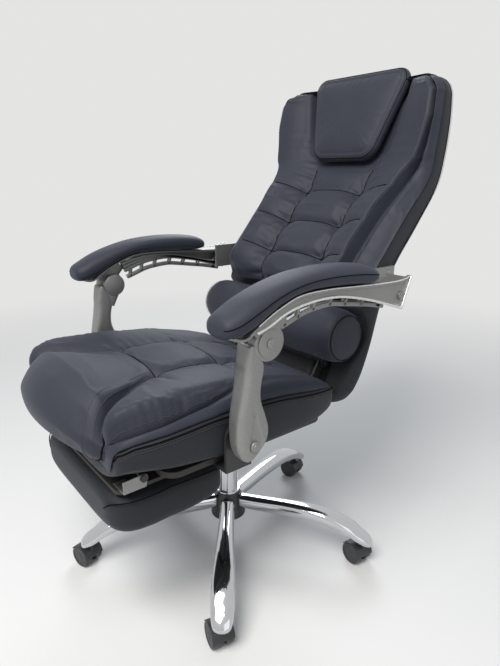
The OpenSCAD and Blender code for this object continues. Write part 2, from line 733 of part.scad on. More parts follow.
// Seat base: a padded box under the sewn cushion
module seat_base() {
    top_line = [for (p = seat_line) [p[0], p[1] - soft_gap]];
    rings = [
        for (i = [0:len(seat_low_shares) - 1])
            let (
                s = seat_low_shares[i],
                front = i == 0 ? seat_line[1][0] + soft_gap : seat_start[0] + s[0] * seat_d,
                w = s[2] * seat_half,
                top = lookup(front, [for (k = [1:len(top_line) - 1]) top_line[k]]) - (i == len(seat_low_shares) - 1 ? seat_h * 0.08 : 0),
                side = cushion_z + s[1] * seat_h,
                low = cushion_z + (i < 2 ? seat_h * 0.1 : soft_gap),
                bow = between(side, top, 0.45)
            )
            [
                [-w * 0.97, front, top], [-w * 0.5, front, top], [w * 0.5, front, top], [w * 0.97, front, top],
                [w, front, between(side, top, 0.8)], [w, front, bow], [w * 0.985, front, between(side, top, 0.15)],
                [w * 0.95, front, side], [w * 0.8, front, low], [w * 0.3, front, low],
                [-w * 0.3, front, low], [-w * 0.8, front, low], [-w * 0.95, front, side],
                [-w * 0.985, front, between(side, top, 0.15)], [-w, front, bow], [-w, front, between(side, top, 0.8)]
            ]
    ];
    color([0.09, 0.09, 0.1]) loft([for (r = rings) concat([for (k = [15:-1:15]) r[k]], [for (k = [0:14]) r[k]])]);
}

// Sewn seat cushion with its front roll, side pillows and tufted rows
module seat_topper() {
    rings = [
        for (s = seat_stations)
            let (
                drop = row_drop(s, seat_rows, seat_row_dip),
                widths = seat_half * [
                    lookup(s, seat_seam_shares), lookup(s, seat_crest_shares), lookup(s, seat_edge_shares)
                ],
                middle = seat_h * lookup(s, seat_middle_shares) - drop * 0.8,
                valley = seat_h * lookup(s, seat_valley_shares) - drop,
                t = [
                    middle, max(valley, soft_gap + seat_h * 0.03),
                    seat_h * lookup(s, seat_pillow_shares), seat_h * lookup(s, seat_edge_t_shares)
                ]
            )
            concat(
                pad_face(seat_line, s, widths, t, 0),
                reversed(pad_face(seat_line, s, widths, [0, 0, 0, 0], 0))
            )
    ];
    color([0.12, 0.12, 0.14]) loft(rings);
}

// Hinge between the seat and the back
module hinge_plates() {
    front = -plate_front;
    rear = pan_rear;
    color([0.1, 0.1, 0.11])
        both_sides()
            difference() {
                union() {
                    slab_x(
                        [
                            [front, pan_z], [front, pan_z - plate_drop], [rear, pan_z - plate_drop],
                            [hinge_y + hinge_boss_r * 0.75, hinge_z - hinge_boss_r * 0.66],
                            [hinge_y - hinge_boss_r * 0.75, hinge_z + hinge_boss_r * 0.66],
                            [rear + plate_drop * 0.3, pan_z]
                        ],
                        plate_x, plate_x + plate_t
                    );
                    rod_x(hinge_boss_r, plate_x, plate_x + plate_t, hinge_y, hinge_z);
                }
                rod_x(shaft_r + pin_gap, plate_x - over, plate_x + plate_t + over, hinge_y, hinge_z);
            }
}

module hinge_shaft() {
    end = strip_x + strip_t + plate_gap;
    color([0.7, 0.7, 0.72]) {
        rod_x(shaft_r, -end, end, hinge_y, hinge_z);
        both_sides() {
            rod_x(hinge_boss_r * 0.7, end, end + sheet_t, hinge_y, hinge_z);
            rod_x(hinge_boss_r * 0.7, plate_x + plate_t + pin_gap, strip_x - plate_gap, hinge_y, hinge_z);
        }
    }
}

// Brackets that carry the arm posts
module arm_brackets() {
    low = pan_z - bracket_t;
    color([0.1, 0.1, 0.11])
        both_sides() {
            difference() {
                union() {
                    translate([bracket_x - bracket_reach, pivot_y - bracket_w / 2, low])
                        cube([bracket_reach + bracket_t, bracket_w, bracket_t]);
                    translate([bracket_x, pivot_y - bracket_w / 2, low])
                        cube([bracket_t, bracket_w, pivot_z - low]);
                    rod_x(bracket_w / 2, bracket_x, bracket_x + bracket_t, pivot_y, pivot_z);
                }
                translate([0, 0, low - over])
                    bolt_places(bracket_bolts) cylinder(r = bolt_r + pin_gap, h = bracket_t + 2 * over);
            }
            rod_x(stud_r * 2, bracket_x, arm_in - plate_gap, pivot_y, pivot_z);
            rod_x(stud_r, bracket_x, arm_out - recess_t + plate_gap, pivot_y, pivot_z);
            rod_x(stud_head_r, arm_out - recess_t + plate_gap, arm_out - plate_gap, pivot_y, pivot_z);
        }
}

// Footrest guides under the pan
module footrest_rails() {
    color([0.1, 0.1, 0.11])
        both_sides()
            for (y = [front_sleeve_y, rear_sleeve_y])
                difference() {
                    translate([rail_x - slide_r - 2 * sleeve_wall, y, slide_z - slide_r - sleeve_wall])
                        cube([2 * (slide_r + 2 * sleeve_wall), sleeve_l, 2 * (slide_r + sleeve_wall)]);
                    translate([rail_x, y + sleeve_l + over, slide_z])
                        rotate([90, 0, 0]) cylinder(r = slide_r + pin_gap, h = sleeve_l + 2 * over);
                }
}

// Levers on the sitter's right
module lever(y) {
    color([0.08, 0.08, 0.09])
        translate([0, y, pan_z - lever_drop]) {
            translate([-lever_out, 0, 0]) rotate([0, 90, 0]) cylinder(r = lever_r, h = lever_out - lever_in);
            difference() {
                translate([-lever_out + paddle_l / 2, 0, -paddle_t / 2])
                    round_plate([paddle_l, paddle_w], paddle_w * 0.4, paddle_t);
                translate([-lever_out + paddle_l * 0.35, 0, paddle_t / 2]) cylinder(r = paddle_w * 0.25, h = paddle_t / 2, center = true);
            }
        }
}

// Backrest frame: strips from the hinge up into the box, joined by a tube
strip_points = [
    [hinge_y, hinge_z], [hinge_y + back_lean * 0.158, hinge_z + back_h * 0.066],
    [hinge_y + back_lean * 0.31, hinge_z + back_h * 0.26]
];
module strip_line(extra) {
    a = strip_points[0];
    b = strip_points[1];
    c = strip_points[2];
    w = strip_w / 2 + extra;
    low = off_line([a, b], 0);
    high = off_line([b, c], 0);
    bend = (low + high) / (1 + low * high);
    end = c + (c - b) / norm(c - b) * w;
    slab_x(
        [a + low * w, b + bend * w, end + high * w, end - high * w, b - bend * w, a - low * w],
        strip_x - extra, strip_x + strip_t + extra
    );
}

module back_frame() {
    top = strip_points[2];
    color([0.1, 0.1, 0.11])
        difference() {
            union() {
                both_sides() {
                    strip_line(0);
                    rod_x(hinge_boss_r, strip_x, strip_x + strip_t, hinge_y, hinge_z);
                }
                rod_x(back_tube_r, -strip_x - strip_t / 2, strip_x + strip_t / 2, top[0], top[1]);
            }
            rod_x(shaft_r + pin_gap, -strip_x - strip_t - over, strip_x + strip_t + over, hinge_y, hinge_z);
        }
}

function back_widths(s) = back_half * [
    lookup(s, back_seam_shares), lookup(max(s, back_crest_shares[0][0]), back_crest_shares), lookup(s, back_edge_shares)
];
function back_hollow(s) = headrest_t * lookup(s, back_recess_shares);

// Place of a point of the hinge plates, as the fully reclined back meets it
function swung(p) =
    let (d = p - [hinge_y, hinge_z])
    [hinge_y + d[0] * cos(recline_max) - d[1] * sin(recline_max), hinge_z + d[0] * sin(recline_max) + d[1] * cos(recline_max)];
// Slot in the foot of the backrest that the hinge plates sweep through
module plate_sweep() {
    low = swung([pan_rear, pan_z - plate_drop]);
    neck = swung([hinge_y + hinge_boss_r * 0.75, hinge_z - hinge_boss_r * 0.66]);
    away = -sweep_gap * off_line([low, neck], 0);
    slab_x(
        [
            low + away, neck + away, [hinge_y, hinge_z + hinge_boss_r],
            [back_foot_y - hinge_boss_r, hinge_z], [back_foot_y - hinge_boss_r, low[1]]
        ],
        plate_x - soft_gap, strip_x
    );
}

// Backrest box: the padded shell behind the tufted front
module back_box() {
    gap = [-soft_gap, -soft_gap, -soft_gap, -soft_gap];
    depth_of = [for (i = [0:len(back_depth_shares) - 1]) [i, back_depth_shares[i]]];
    rings = [
        for (s = box_stations)
            let (
                depth = back_lean * lookup(s, depth_of),
                edge = back_widths(s)[2],
                p = on_line(back_line, s),
                n = off_line(back_line, s, back_rear_reach),
                rear = [
                    for (c = columns)
                        let (
                            share = column_place(c[1], 0.36, 0.75, 1),
                            fall = depth * (1 - 0.09 * pow(share, 2) - 0.8 * pow(share, 8)) + soft_gap,
                            q = p - n * fall
                        )
                        [c[0] * edge * share, q[0], q[1]]
                ]
            )
            concat(pad_face(back_line, s, back_widths(s), gap, back_hollow(s)), reversed(rear))
    ];
    color([0.1, 0.1, 0.11])
        difference() {
            loft(rings);
            both_sides() strip_line(soft_gap);
            both_sides() plate_sweep();
            rod_x(back_tube_r + soft_gap, -strip_x, strip_x, strip_points[2][0], strip_points[2][1]);
            both_sides()
                for (p = ear_bolts)
                    rod_x(ear_bolt_r + pin_gap, back_half - ear_bolt_in - over, back_half + over, p[0], p[1]);
        }
}

// Tufted front of the backrest
module back_topper() {
    rings = [
        for (s = topper_stations)
            let (
                drop = row_drop(s, back_rows, back_row_dip),
                t = [
                    wing_t * lookup(s, back_middle_shares) - drop * 0.8,
                    wing_t * lookup(s, back_valley_shares) - drop,
                    wing_t * lookup(s, back_wing_shares) + drop * 0.2,
                    wing_t * lookup(s, back_edge_t_shares)
                ]
            )
            concat(
                pad_face(back_line, s, back_widths(s), t, back_hollow(s)),
                reversed(pad_face(back_line, s, back_widths(s), [0, 0, 0, 0], back_hollow(s)))
            )
    ];
    color([0.12, 0.12, 0.14]) loft(rings);
}

// Headrest pillow
module headrest() {
    line = place(headrest_shares, [headrest_y, headrest_z], [headrest_lean, headrest_h]);
    rings = [
        for (i = [0:len(headrest_shares) - 1])
            let (
                h = headrest_t * headrest_shares[i][2] / 2,
                n = off_line(line, i),
                c = line[i] + n * h
            )
            ring([0, c[0], c[1]], [1, 0, 0], [0, n[0], n[1]], headrest_w / 2 * headrest_shares[i][3], h, 26, 3.2)
    ];
    color([0.12, 0.12, 0.14]) loft(rings);
}

module lumbar_bolster() {
    rings = [
        for (s = lumbar_shares)
            ring([s[0] * lumbar_w / 2, lumbar_y, lumbar_z], [0, 0, 1], [0, 1, 0], s[1] * lumbar_r, s[1] * lumbar_r, 24, 2)
    ];
    color([0.12, 0.12, 0.14]) loft(rings);
}

// Plates on the back that carry the rear end of the arms
ear_size = [112, 60];
ear_front = 50;
ear_drop = 14;
ear_start = [rear_y - ear_front, rear_z - ear_drop];
ear_bolts = place([[0.78, 0.35], [0.86, 0.75]], ear_start, ear_size);
module arm_ears() {
    near = back_half + ear_gap;
    color([0.75, 0.76, 0.78])
        both_sides() {
            translate([near, ear_start[0], ear_start[1]]) cube([ear_t, ear_size[0], ear_size[1]]);
            rod_x(stud_r * 2, near, arm_in - plate_gap, rear_y, rear_z);
            rod_x(stud_r, near, arm_out + skirt_t - plate_gap, rear_y, rear_z);
            rod_x(stud_head_r, arm_out + skirt_t - recess_t + plate_gap, arm_out + skirt_t, rear_y, rear_z);
            for (p = ear_bolts) {
                rod_x(ear_bolt_r, back_half - ear_bolt_in, near, p[0], p[1]);
                rod_x(2 * ear_bolt_r, near, near + ear_t + ear_bolt_r / 2, p[0], p[1]);
            }
        }
}

// Arm post on the sitter's left
module arm_post() {
    rings = [
        for (s = post_shares)
            let (
                front = post_start[0] + s[1] * post_d,
                rear = post_start[0] + s[2] * post_d
            )
            ring(
                [arm_x, (front + rear) / 2, post_start[1] + s[0] * post_h], [1, 0, 0], [0, -1, 0],
                arm_t / 2 * s[3], (rear - front) / 2, 20, 3
            )
    ];
    color([0.62, 0.62, 0.6])
        difference() {
            union() {
                loft(rings);
                hull() {
                    rod_x(ear_r, arm_in, drum_in - plate_gap, elbow_y, elbow_z);
                    rod_x(ear_r * 0.6, arm_in, drum_in - plate_gap, elbow_y - ear_r, elbow_z - 1.7 * ear_r);
                }
            }
            rod_x(elbow_r + plate_gap, drum_in - plate_gap, arm_out + over, elbow_y, elbow_z);
            rod_x(stud_r + pin_gap, arm_in - over, arm_out + over, elbow_y, elbow_z);
            rod_x(stud_r + pin_gap, arm_in - over, arm_out + over, pivot_y, pivot_z);
            rod_x(stud_head_r + plate_gap, arm_out - recess_t, arm_out + over, pivot_y, pivot_z);
            slab_x(place(tear_shares, post_start, post_size), arm_out - recess_t / 2, arm_out + over);
        }
}

// Arm frame on the sitter's left: top rail, outer skirt, slotted web, elbow drum and rear boss
module arm_frame() {
    skirt = place(arm_skirt_shares, arm_start, arm_size);
    web = place(arm_web_shares, arm_start, arm_size);
    under = [for (p = arm_top) [p[0], p[1] - rail_t]];
    rail_in = arm_in + plate_gap;
    color([0.62, 0.62, 0.6])
        difference() {
            union() {
                slab_x(concat(arm_top, reversed(under)), rail_in, arm_out + skirt_t);
                slab_x(
                    concat([for (i = [3:len(arm_top) - 1]) arm_top[i]], reversed(skirt)),
                    arm_out, arm_out + skirt_t
                );
                slab_x(concat([for (i = [5:len(under) - 1]) under[i] + [0, over]], reversed(web)), web_in, web_in + web_wall);
                hull() {
                    rod_x(elbow_r, drum_in, arm_out, elbow_y, elbow_z);
                    slab_x(
                        [
                            [elbow_y - elbow_r, elbow_z + elbow_r * 0.75], [elbow_y - elbow_r * 0.6, elbow_z + 1.4 * elbow_r],
                            [elbow_y + elbow_r * 1.2, elbow_z + 1.85 * elbow_r], [elbow_y + elbow_r * 1.2, elbow_z + elbow_r * 0.5]
                        ],
                        drum_in, arm_out + skirt_t * 0.5
                    );
                }
                rod_x(rear_boss_r, rail_in, arm_out + skirt_t, rear_y, rear_z);
            }
            rod_x(stud_r + pin_gap, drum_in - over, arm_out + skirt_t + over, elbow_y, elbow_z);
            rod_x(elbow_r * 0.8 + plate_gap, arm_out, arm_out + skirt_t + over, elbow_y, elbow_z);
            rod_x(stud_r + open_gap, rail_in - over, arm_out + skirt_t + over, rear_y, rear_z);
            rod_x(stud_head_r + plate_gap, arm_out + skirt_t - recess_t, arm_out + skirt_t + over, rear_y, rear_z);
            for (s = slot_shares)
                translate([web_in - over, arm_start[0] + s[0] * arm_l, arm_start[1] + s[1] * arm_h])
                    rotate([s[2], 0, 0])
                        translate([0, -slot_w / 2, -slot_h / 2]) cube([web_wall + 2 * over, slot_w, slot_h]);
        }
}

module arm_pad() {
    rings = [
        for (s = arm_pad_shares)
            ring(
                [arm_x, arm_start[0] + s[0] * arm_l, arm_start[1] + s[1] * arm_h + soft_gap], [1, 0, 0], [0, 0, 1],
                arm_pad_w / 2 * s[3], arm_h * s[2], 20, 2.5
            )
    ];
    color([0.12, 0.12, 0.14]) loft(rings);
}

module elbow_pin() {
    color([0.7, 0.7, 0.7]) {
        rod_x(stud_r, arm_in + plate_gap, arm_out + over, elbow_y, elbow_z);
        rod_x(elbow_r * 0.8, arm_out + pin_gap, arm_out + sheet_t, elbow_y, elbow_z);
        rod_x(stud_head_r, arm_out + sheet_t, arm_out + 2 * sheet_t, elbow_y, elbow_z);
    }
}

// Footrest
module footrest_slider() {
    ear_x = rail_x - plate_t / 2;
    color([0.72, 0.72, 0.74]) {
        both_sides() {
            translate([rail_x, slide_rear, slide_z]) rotate([90, 0, 0]) cylinder(r = slide_r, h = slide_rear - foot_pivot_y - slide_r);
            hull() {
                rod_x(foot_pin_r * 1.5, ear_x, ear_x + plate_t, foot_pivot_y, foot_pivot_z - foot_pin_r * 0.5);
                rod_x(slide_r, ear_x, ear_x + plate_t, foot_pivot_y + 2 * slide_r, slide_z);
            }
            rod_x(foot_pin_r * 1.8, foot_bracket_x + foot_bracket_t + plate_gap, foot_bracket_x + 2 * foot_bracket_t, foot_pivot_y, foot_pivot_z);
        }
        rod_x(foot_pin_r, -foot_bracket_x - 2 * foot_bracket_t, foot_bracket_x + 2 * foot_bracket_t, foot_pivot_y, foot_pivot_z);
    }
}

module footrest_board() {
    l = foot_l - 2 * board_inset;
    color([0.42, 0.32, 0.2])
        translate([0, foot_pivot_y - foot_front + foot_l / 2, board_top - board_t])
            round_plate([foot_w - 2 * board_inset, l], board_inset, board_t);
}

module footrest_brackets() {
    front = foot_pivot_y - foot_bracket_reach;
    color([0.75, 0.76, 0.78])
        both_sides() {
            difference() {
                union() {
                    slab_x(
                        [
                            [front, board_top], [foot_pivot_y + foot_bracket_r * 0.5, board_top],
                            [foot_pivot_y + foot_bracket_r, foot_pivot_z],
                            [foot_pivot_y, foot_pivot_z + foot_bracket_r * 0.98], [front, foot_pivot_z + foot_bracket_r * 0.8]
                        ],
                        foot_bracket_x, foot_bracket_x + foot_bracket_t
                    );
                    rod_x(foot_bracket_r, foot_bracket_x, foot_bracket_x + foot_bracket_t, foot_pivot_y, foot_pivot_z);
                }
                rod_x(foot_pin_r + pin_gap, foot_bracket_x - over, foot_bracket_x + foot_bracket_t + over, foot_pivot_y, foot_pivot_z);
            }
            translate([foot_bracket_x - foot_bracket_reach, front, board_top])
                cube([foot_bracket_reach + foot_bracket_t, foot_bracket_reach * 0.6, foot_bracket_t]);
        }
}

module footrest_pad() {
    start = foot_pivot_y - foot_front;
    top = board_top - board_t - soft_gap;
    rings = [
        for (s = foot_pad_shares)
            let (low = top - foot_t * (1 - s[1]), high = top - foot_t * (1 - s[2]))
            ring(
                [0, start + s[0] * foot_l, (low + high) / 2], [1, 0, 0], [0, 0, 1],
                foot_w / 2 * s[3], (high - low) / 2, 28, 4.5
            )
    ];
    color([0.12, 0.12, 0.14]) loft(rings);
}

base_hub();
base_leg(0);  // base_leg_1
base_leg(1);  // base_leg_2
base_leg(2);  // base_leg_3
base_leg(3);  // base_leg_4
base_leg(4);  // base_leg_5
lift_outer_tube();
lift_guide_bush();
lift_thrust_bearing();
lift_rod();
lift_cylinder();
caster_housing(0);  // caster_1_housing
caster_pins(0);  // caster_1_pins
caster_wheel(0, -1);  // caster_1_wheel_left
caster_wheel(0, 1);  // caster_1_wheel_right
caster_housing(1);  // caster_2_housing
caster_pins(1);  // caster_2_pins
caster_wheel(1, -1);  // caster_2_wheel_left
caster_wheel(1, 1);  // caster_2_wheel_right
caster_housing(2);  // caster_3_housing
caster_pins(2);  // caster_3_pins
caster_wheel(2, -1);  // caster_3_wheel_left
caster_wheel(2, 1);  // caster_3_wheel_right
caster_housing(3);  // caster_4_housing
caster_pins(3);  // caster_4_pins
caster_wheel(3, -1);  // caster_4_wheel_left
caster_wheel(3, 1);  // caster_4_wheel_right
caster_housing(4);  // caster_5_housing
caster_pins(4);  // caster_5_pins
caster_wheel(4, -1);  // caster_5_wheel_left
caster_wheel(4, 1);  // caster_5_wheel_right
mechanism_housing();
seat_pan();
seat_base();
seat_topper();
hinge_plates();
hinge_shaft();
arm_brackets();
footrest_rails();
seat_bolts();
lever(height_lever_y);  // height_lever
lever(lock_lever_y);  // recline_lock_lever
back_frame();
back_box();
back_topper();
headrest();
lumbar_bolster();
arm_ears();
arm_post();  // arm_post_left
mirror([1, 0, 0]) arm_post();  // arm_post_right
arm_frame();  // arm_frame_left
mirror([1, 0, 0]) arm_frame();  // arm_frame_right
arm_pad();  // arm_pad_left
mirror([1, 0, 0]) arm_pad();  // arm_pad_right
elbow_pin();  // elbow_pin_left
mirror([1, 0, 0]) elbow_pin();  // elbow_pin_right
footrest_slider();
footrest_board();
footrest_brackets();
footrest_pad();
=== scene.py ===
"""Looks of the reclining office chair with a fold-out footrest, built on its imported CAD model."""

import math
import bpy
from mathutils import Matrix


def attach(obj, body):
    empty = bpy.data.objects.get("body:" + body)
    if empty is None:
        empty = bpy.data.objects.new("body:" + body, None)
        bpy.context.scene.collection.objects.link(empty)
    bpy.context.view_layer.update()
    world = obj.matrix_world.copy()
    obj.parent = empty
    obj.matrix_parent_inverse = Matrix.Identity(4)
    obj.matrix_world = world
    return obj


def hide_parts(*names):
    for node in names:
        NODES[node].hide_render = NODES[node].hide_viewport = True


bl_info = {
    "name": "Reclining office chair with footrest",
    "version": (1, 0, 0),
    "blender": (4, 5, 0),
    "location": "3D View > Sidebar > Chair",
    "description": "Builds the upholstery, arms, base and finishes of the chair on its CAD frame",
    "category": "Add Mesh",
}

import bpy
import numpy as np
from bpy.props import FloatProperty, FloatVectorProperty, PointerProperty
from mathutils import Vector, noise

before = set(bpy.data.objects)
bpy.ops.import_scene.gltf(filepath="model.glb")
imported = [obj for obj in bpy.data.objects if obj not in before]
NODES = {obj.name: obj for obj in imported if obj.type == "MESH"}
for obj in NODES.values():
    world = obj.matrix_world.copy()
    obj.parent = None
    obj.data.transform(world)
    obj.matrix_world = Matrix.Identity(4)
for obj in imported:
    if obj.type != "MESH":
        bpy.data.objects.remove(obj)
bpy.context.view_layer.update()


# Sizes shared with the CAD source, in metres. A line runs along a piece in the side plane, as shares of its
# size from its start. A table beside it pairs a place, counted in points of the line, with a share.

SEAT_START, SEAT_SIZE = np.array((-0.450, 0.412)), np.array((0.554, 0.166))
SEAT_HALF = 0.258
SEAT_LINE = SEAT_START + SEAT_SIZE * np.array((
    (0.11, 0.1), (0.11, 0.26), (0.12, 0.4), (0.16, 0.47), (0.27, 0.51), (0.425, 0.55), (0.58, 0.555),
    (0.72, 0.52), (0.865, 0.45), (0.985, 0.385),
))
SEAT_ROWS = (4.82, 6.6, 8.2)
SEAT_SEAM = (
    (0.45, 0.5), (0.6, 0.6), (0.85, 0.68), (1.2, 0.72), (2, 0.72), (3, 0.62), (4, 0.455), (4.82, 0.33),
    (9, 0.33),
)
SEAT_CREST = (
    (0, 0.735), (1, 0.738), (2, 0.74), (2.4, 0.752), (3, 0.785), (4, 0.79), (5, 0.775), (6, 0.745), (7, 0.71),
    (9, 0.69),
)
SEAT_TUCK = (
    (0, 0.745), (1, 0.75), (2, 0.757), (2.3, 0.775), (2.6, 0.812), (3, 0.862), (3.5, 0.9), (4, 0.92),
    (5, 0.91), (5.5, 0.885), (6, 0.845), (7, 0.785), (9, 0.76),
)
SEAT_EDGE = ((0, 0.78), (1, 0.83), (2, 0.865), (3, 0.925), (4, 0.98), (5, 1), (8, 1), (9, 0.96))
SEAT_MIDDLE = (
    (0, 0.09), (0.5, 0.21), (1, 0.29), (1.5, 0.375), (2, 0.46), (2.5, 0.53), (3, 0.555), (3.5, 0.51),
    (4, 0.43), (4.5, 0.34), (5, 0.32), (5.7, 0.31), (7.3, 0.22), (8.3, 0.15), (9, 0.06),
)
SEAT_VALLEY = (
    (0, 0.01), (1, 0.02), (1.6, 0.03), (2.2, 0.06), (3, 0.22), (3.5, 0.27), (4, 0.26), (5, 0.23), (7, 0.15),
    (9, 0.04),
)
SEAT_PILLOW = (
    (0, 0.005), (1, 0.01), (1.6, 0.02), (2, 0.04), (2.3, 0.12), (2.6, 0.24), (3, 0.34), (3.5, 0.385),
    (4, 0.39), (5, 0.33), (6, 0.26), (7, 0.2), (8, 0.135), (9, 0.06),
)
SEAT_GROOVE = (
    (0, 0.005), (1.8, 0.02), (2.4, 0.04), (3, 0.045), (4, 0.05), (5, 0.075), (5.5, 0.12), (6, 0.19),
    (6.6, 0.205), (7, 0.18), (8, 0.125), (9, 0.05),
)
SEAT_SHOULDER = (
    (0, 0.005), (1.8, 0.02), (2.6, 0.06), (3, 0.08), (4, 0.1), (5, 0.12), (6, 0.165), (7, 0.15), (8, 0.11),
    (9, 0.05),
)
SEAT_LOW = (
    (0.112, 0.15, 0.78), (0.12, 0.165, 0.87), (0.16, 0.2, 0.93), (0.27, 0.14, 0.99), (0.425, 0.075, 1),
    (0.58, 0.02, 1), (0.72, 0.01, 1), (0.865, 0.02, 1), (0.985, 0.1, 0.96), (1, 0.2, 0.9),
)

BACK_START, BACK_SIZE = np.array((0.150, 0.395)), np.array((0.336, 0.730))
BACK_HALF, WING = 0.252, 0.049
BACK_LINE = BACK_START + BACK_SIZE * np.array((
    (0, 0.005), (0.05, 0.05), (0.125, 0.115), (0.185, 0.2), (0.19, 0.28), (0.16, 0.35), (0.15, 0.405),
    (0.315, 0.5), (0.495, 0.595), (0.69, 0.695), (0.73, 0.78), (0.755, 0.87), (0.775, 0.9425),
    (0.78, 0.98), (0.787, 1),
))
BACK_DEPTH = (
    0.055, 0.062, 0.066, 0.08, 0.165, 0.285, 0.33, 0.285, 0.28, 0.24, 0.262, 0.238, 0.19, 0.16, 0.115,
)
BACK_ROWS = (6.41, 7.39, 8.41)
BACK_SEAM = ((0, 0.357), (9, 0.357), (9.7, 0.42), (10, 0.47), (11, 0.53), (12, 0.57), (13, 0.59), (14, 0.59))
BACK_CREST = (
    (4.7, 0.66), (6.7, 0.715), (7.75, 0.735), (8.7, 0.8), (9.6, 0.88), (11, 0.945), (12, 0.93), (13, 0.84),
    (14, 0.7),
)
BACK_EDGE = (
    (0, 0.66), (0.35, 0.8), (0.8, 0.89), (1.3, 0.935), (2, 0.95), (4, 0.97), (6, 0.99), (11, 1), (12, 0.99),
    (12.5, 0.965), (13, 0.92), (14, 0.78),
)
BACK_MIDDLE = (
    (4.7, 0.2), (5, 0.5), (5.6, 0.64), (8.8, 0.64), (9.3, 0.4), (9.8, 0.16), (12.5, 0.13), (13, 0.1),
)
BACK_VALLEY = (
    (4.7, 0.2), (5, 0.3), (5.6, 0.38), (8.8, 0.36), (9.3, 0.28), (9.8, 0.14), (12.5, 0.12), (13, 0.1),
)
BACK_WING = (
    (4.7, 0.25), (5, 0.66), (6, 0.94), (7, 1), (8, 1), (9, 0.96), (10, 0.9), (11, 0.88), (12, 0.82),
    (12.6, 0.7), (13, 0.52), (13.4, 0.25), (13.6, 0.06),
)
BACK_RIM = ((4.7, 0.1), (6, 0.12), (12, 0.12), (13, 0.06))
BACK_RECESS = ((0, 0), (9, 0), (9.5, 0.25), (10, 0.65), (11, 1.15), (12, 1.35), (13, 1.35), (14, 1.1))

HEAD_START, HEAD_SIZE = np.array((0.3837, 0.9381)), np.array((0.065, 0.204))
HEAD_T = 0.030

PLATE_X = 0.1485
FRONT_HALF = (0, 0.12, 0.25, 0.38, 0.46, 0.52, 0.55, 0.58, 0.61, 0.64, 0.67, 0.7, 0.74, 0.8, 0.9, 1)
FRONT_SHARES = (*(-u for u in reversed(FRONT_HALF[1:])), *FRONT_HALF)
REAR_SEAM, REAR_DEPTH = 0.6, 0.931
SIDE_SEAM, REAR_FULL = 0.44, 0.97
PLATE_SLOT, SLOT_EDGE, SLOT_DEPTH = 0.021, 0.006, 0.75

LUMBAR = Vector((0, 0.1534, 0.571))
LUMBAR_R, LUMBAR_HALF = 0.060, 0.237

ARM_X, ARM_IN, ARM_OUT = 0.297, 0.276, 0.318
SKIRT_OUT, SKIRT_HOLLOW, WEB_T = 0.009, 0.0042, 0.010
ELBOW, REAR, PIVOT = (-0.141, 0.643), (0.205, 0.675), (-0.171, 0.460)
ARM_START, ARM_SIZE = np.array((-0.236, 0.634)), np.array((0.468, 0.121))
ARM_PAD = (
    (-0.004, 0.385, 0.07, 0.5), (0.01, 0.39, 0.145, 0.78), (0.05, 0.43, 0.19, 0.95), (0.12, 0.545, 0.205, 1),
    (0.22, 0.715, 0.155, 1), (0.34, 0.83, 0.135, 1), (0.48, 0.855, 0.15, 1), (0.62, 0.83, 0.16, 1),
    (0.72, 0.79, 0.15, 0.97), (0.765, 0.765, 0.11, 0.85), (0.78, 0.75, 0.06, 0.6),
)
ARM_PAD_HALF = 0.039
POST_START, POST_SIZE = np.array((-0.202, 0.428)), np.array((0.062, 0.200))
POST = (
    (0, 0.33, 0.42, 0.5), (0.03, 0.2, 0.6, 0.75), (0.085, 0.09, 0.8, 0.88), (0.165, 0.0, 1.02, 0.97),
    (0.275, -0.03, 1.09, 1), (0.415, -0.02, 0.97, 1), (0.575, 0.08, 0.79, 1), (0.715, 0.17, 0.79, 1),
    (0.84, 0.23, 0.88, 1), (0.91, 0.24, 0.86, 1), (0.97, 0.27, 0.76, 0.99), (1.02, 0.3, 0.66, 0.97),
    (1.06, 0.33, 0.58, 0.93), (1.08, 0.37, 0.52, 0.88),
)

POST_TEAR = (
    (0.5, 0.075), (0.33, 0.12), (0.3, 0.2), (0.38, 0.33), (0.44, 0.5), (0.47, 0.66), (0.53, 0.5),
    (0.68, 0.33), (0.82, 0.22), (0.78, 0.13), (0.64, 0.08),
)
ARM_TOP = (
    (0.015, 0.33), (0.06, 0.265), (0.09, 0.265), (0.12, 0.33), (0.17, 0.445), (0.25, 0.585), (0.34, 0.685),
    (0.48, 0.695), (0.63, 0.66), (0.8, 0.62), (0.93, 0.61), (0.985, 0.64),
)
SKIRT_TOP = (
    (0.1, 0.29), (0.17, 0.445), (0.25, 0.585), (0.34, 0.685), (0.48, 0.695), (0.63, 0.66), (0.8, 0.62),
    (0.93, 0.61), (1.0, 0.66),
)
SKIRT_LOW = (
    (0.1, 0.25), (0.185, 0.345), (0.26, 0.47), (0.35, 0.545), (0.455, 0.57), (0.57, 0.535), (0.72, 0.4),
    (0.86, 0.235), (0.945, 0.13),
)
WEB_LOW = (
    (0.29, 0.165), (0.34, 0.215), (0.405, 0.29), (0.475, 0.33), (0.555, 0.34), (0.63, 0.3), (0.72, 0.245),
    (0.805, 0.19), (0.9, 0.1),
)
WEB_SLOT_LOW = (
    (0.3, 0.225), (0.345, 0.29), (0.405, 0.37), (0.475, 0.41), (0.555, 0.425), (0.63, 0.385), (0.72, 0.325),
    (0.8, 0.27), (0.9, 0.19),
)
WEB_SLOT_TOP = (
    (0.285, 0.3), (0.33, 0.37), (0.395, 0.45), (0.47, 0.5), (0.555, 0.515), (0.635, 0.475), (0.725, 0.415),
    (0.81, 0.35), (0.9, 0.29),
)

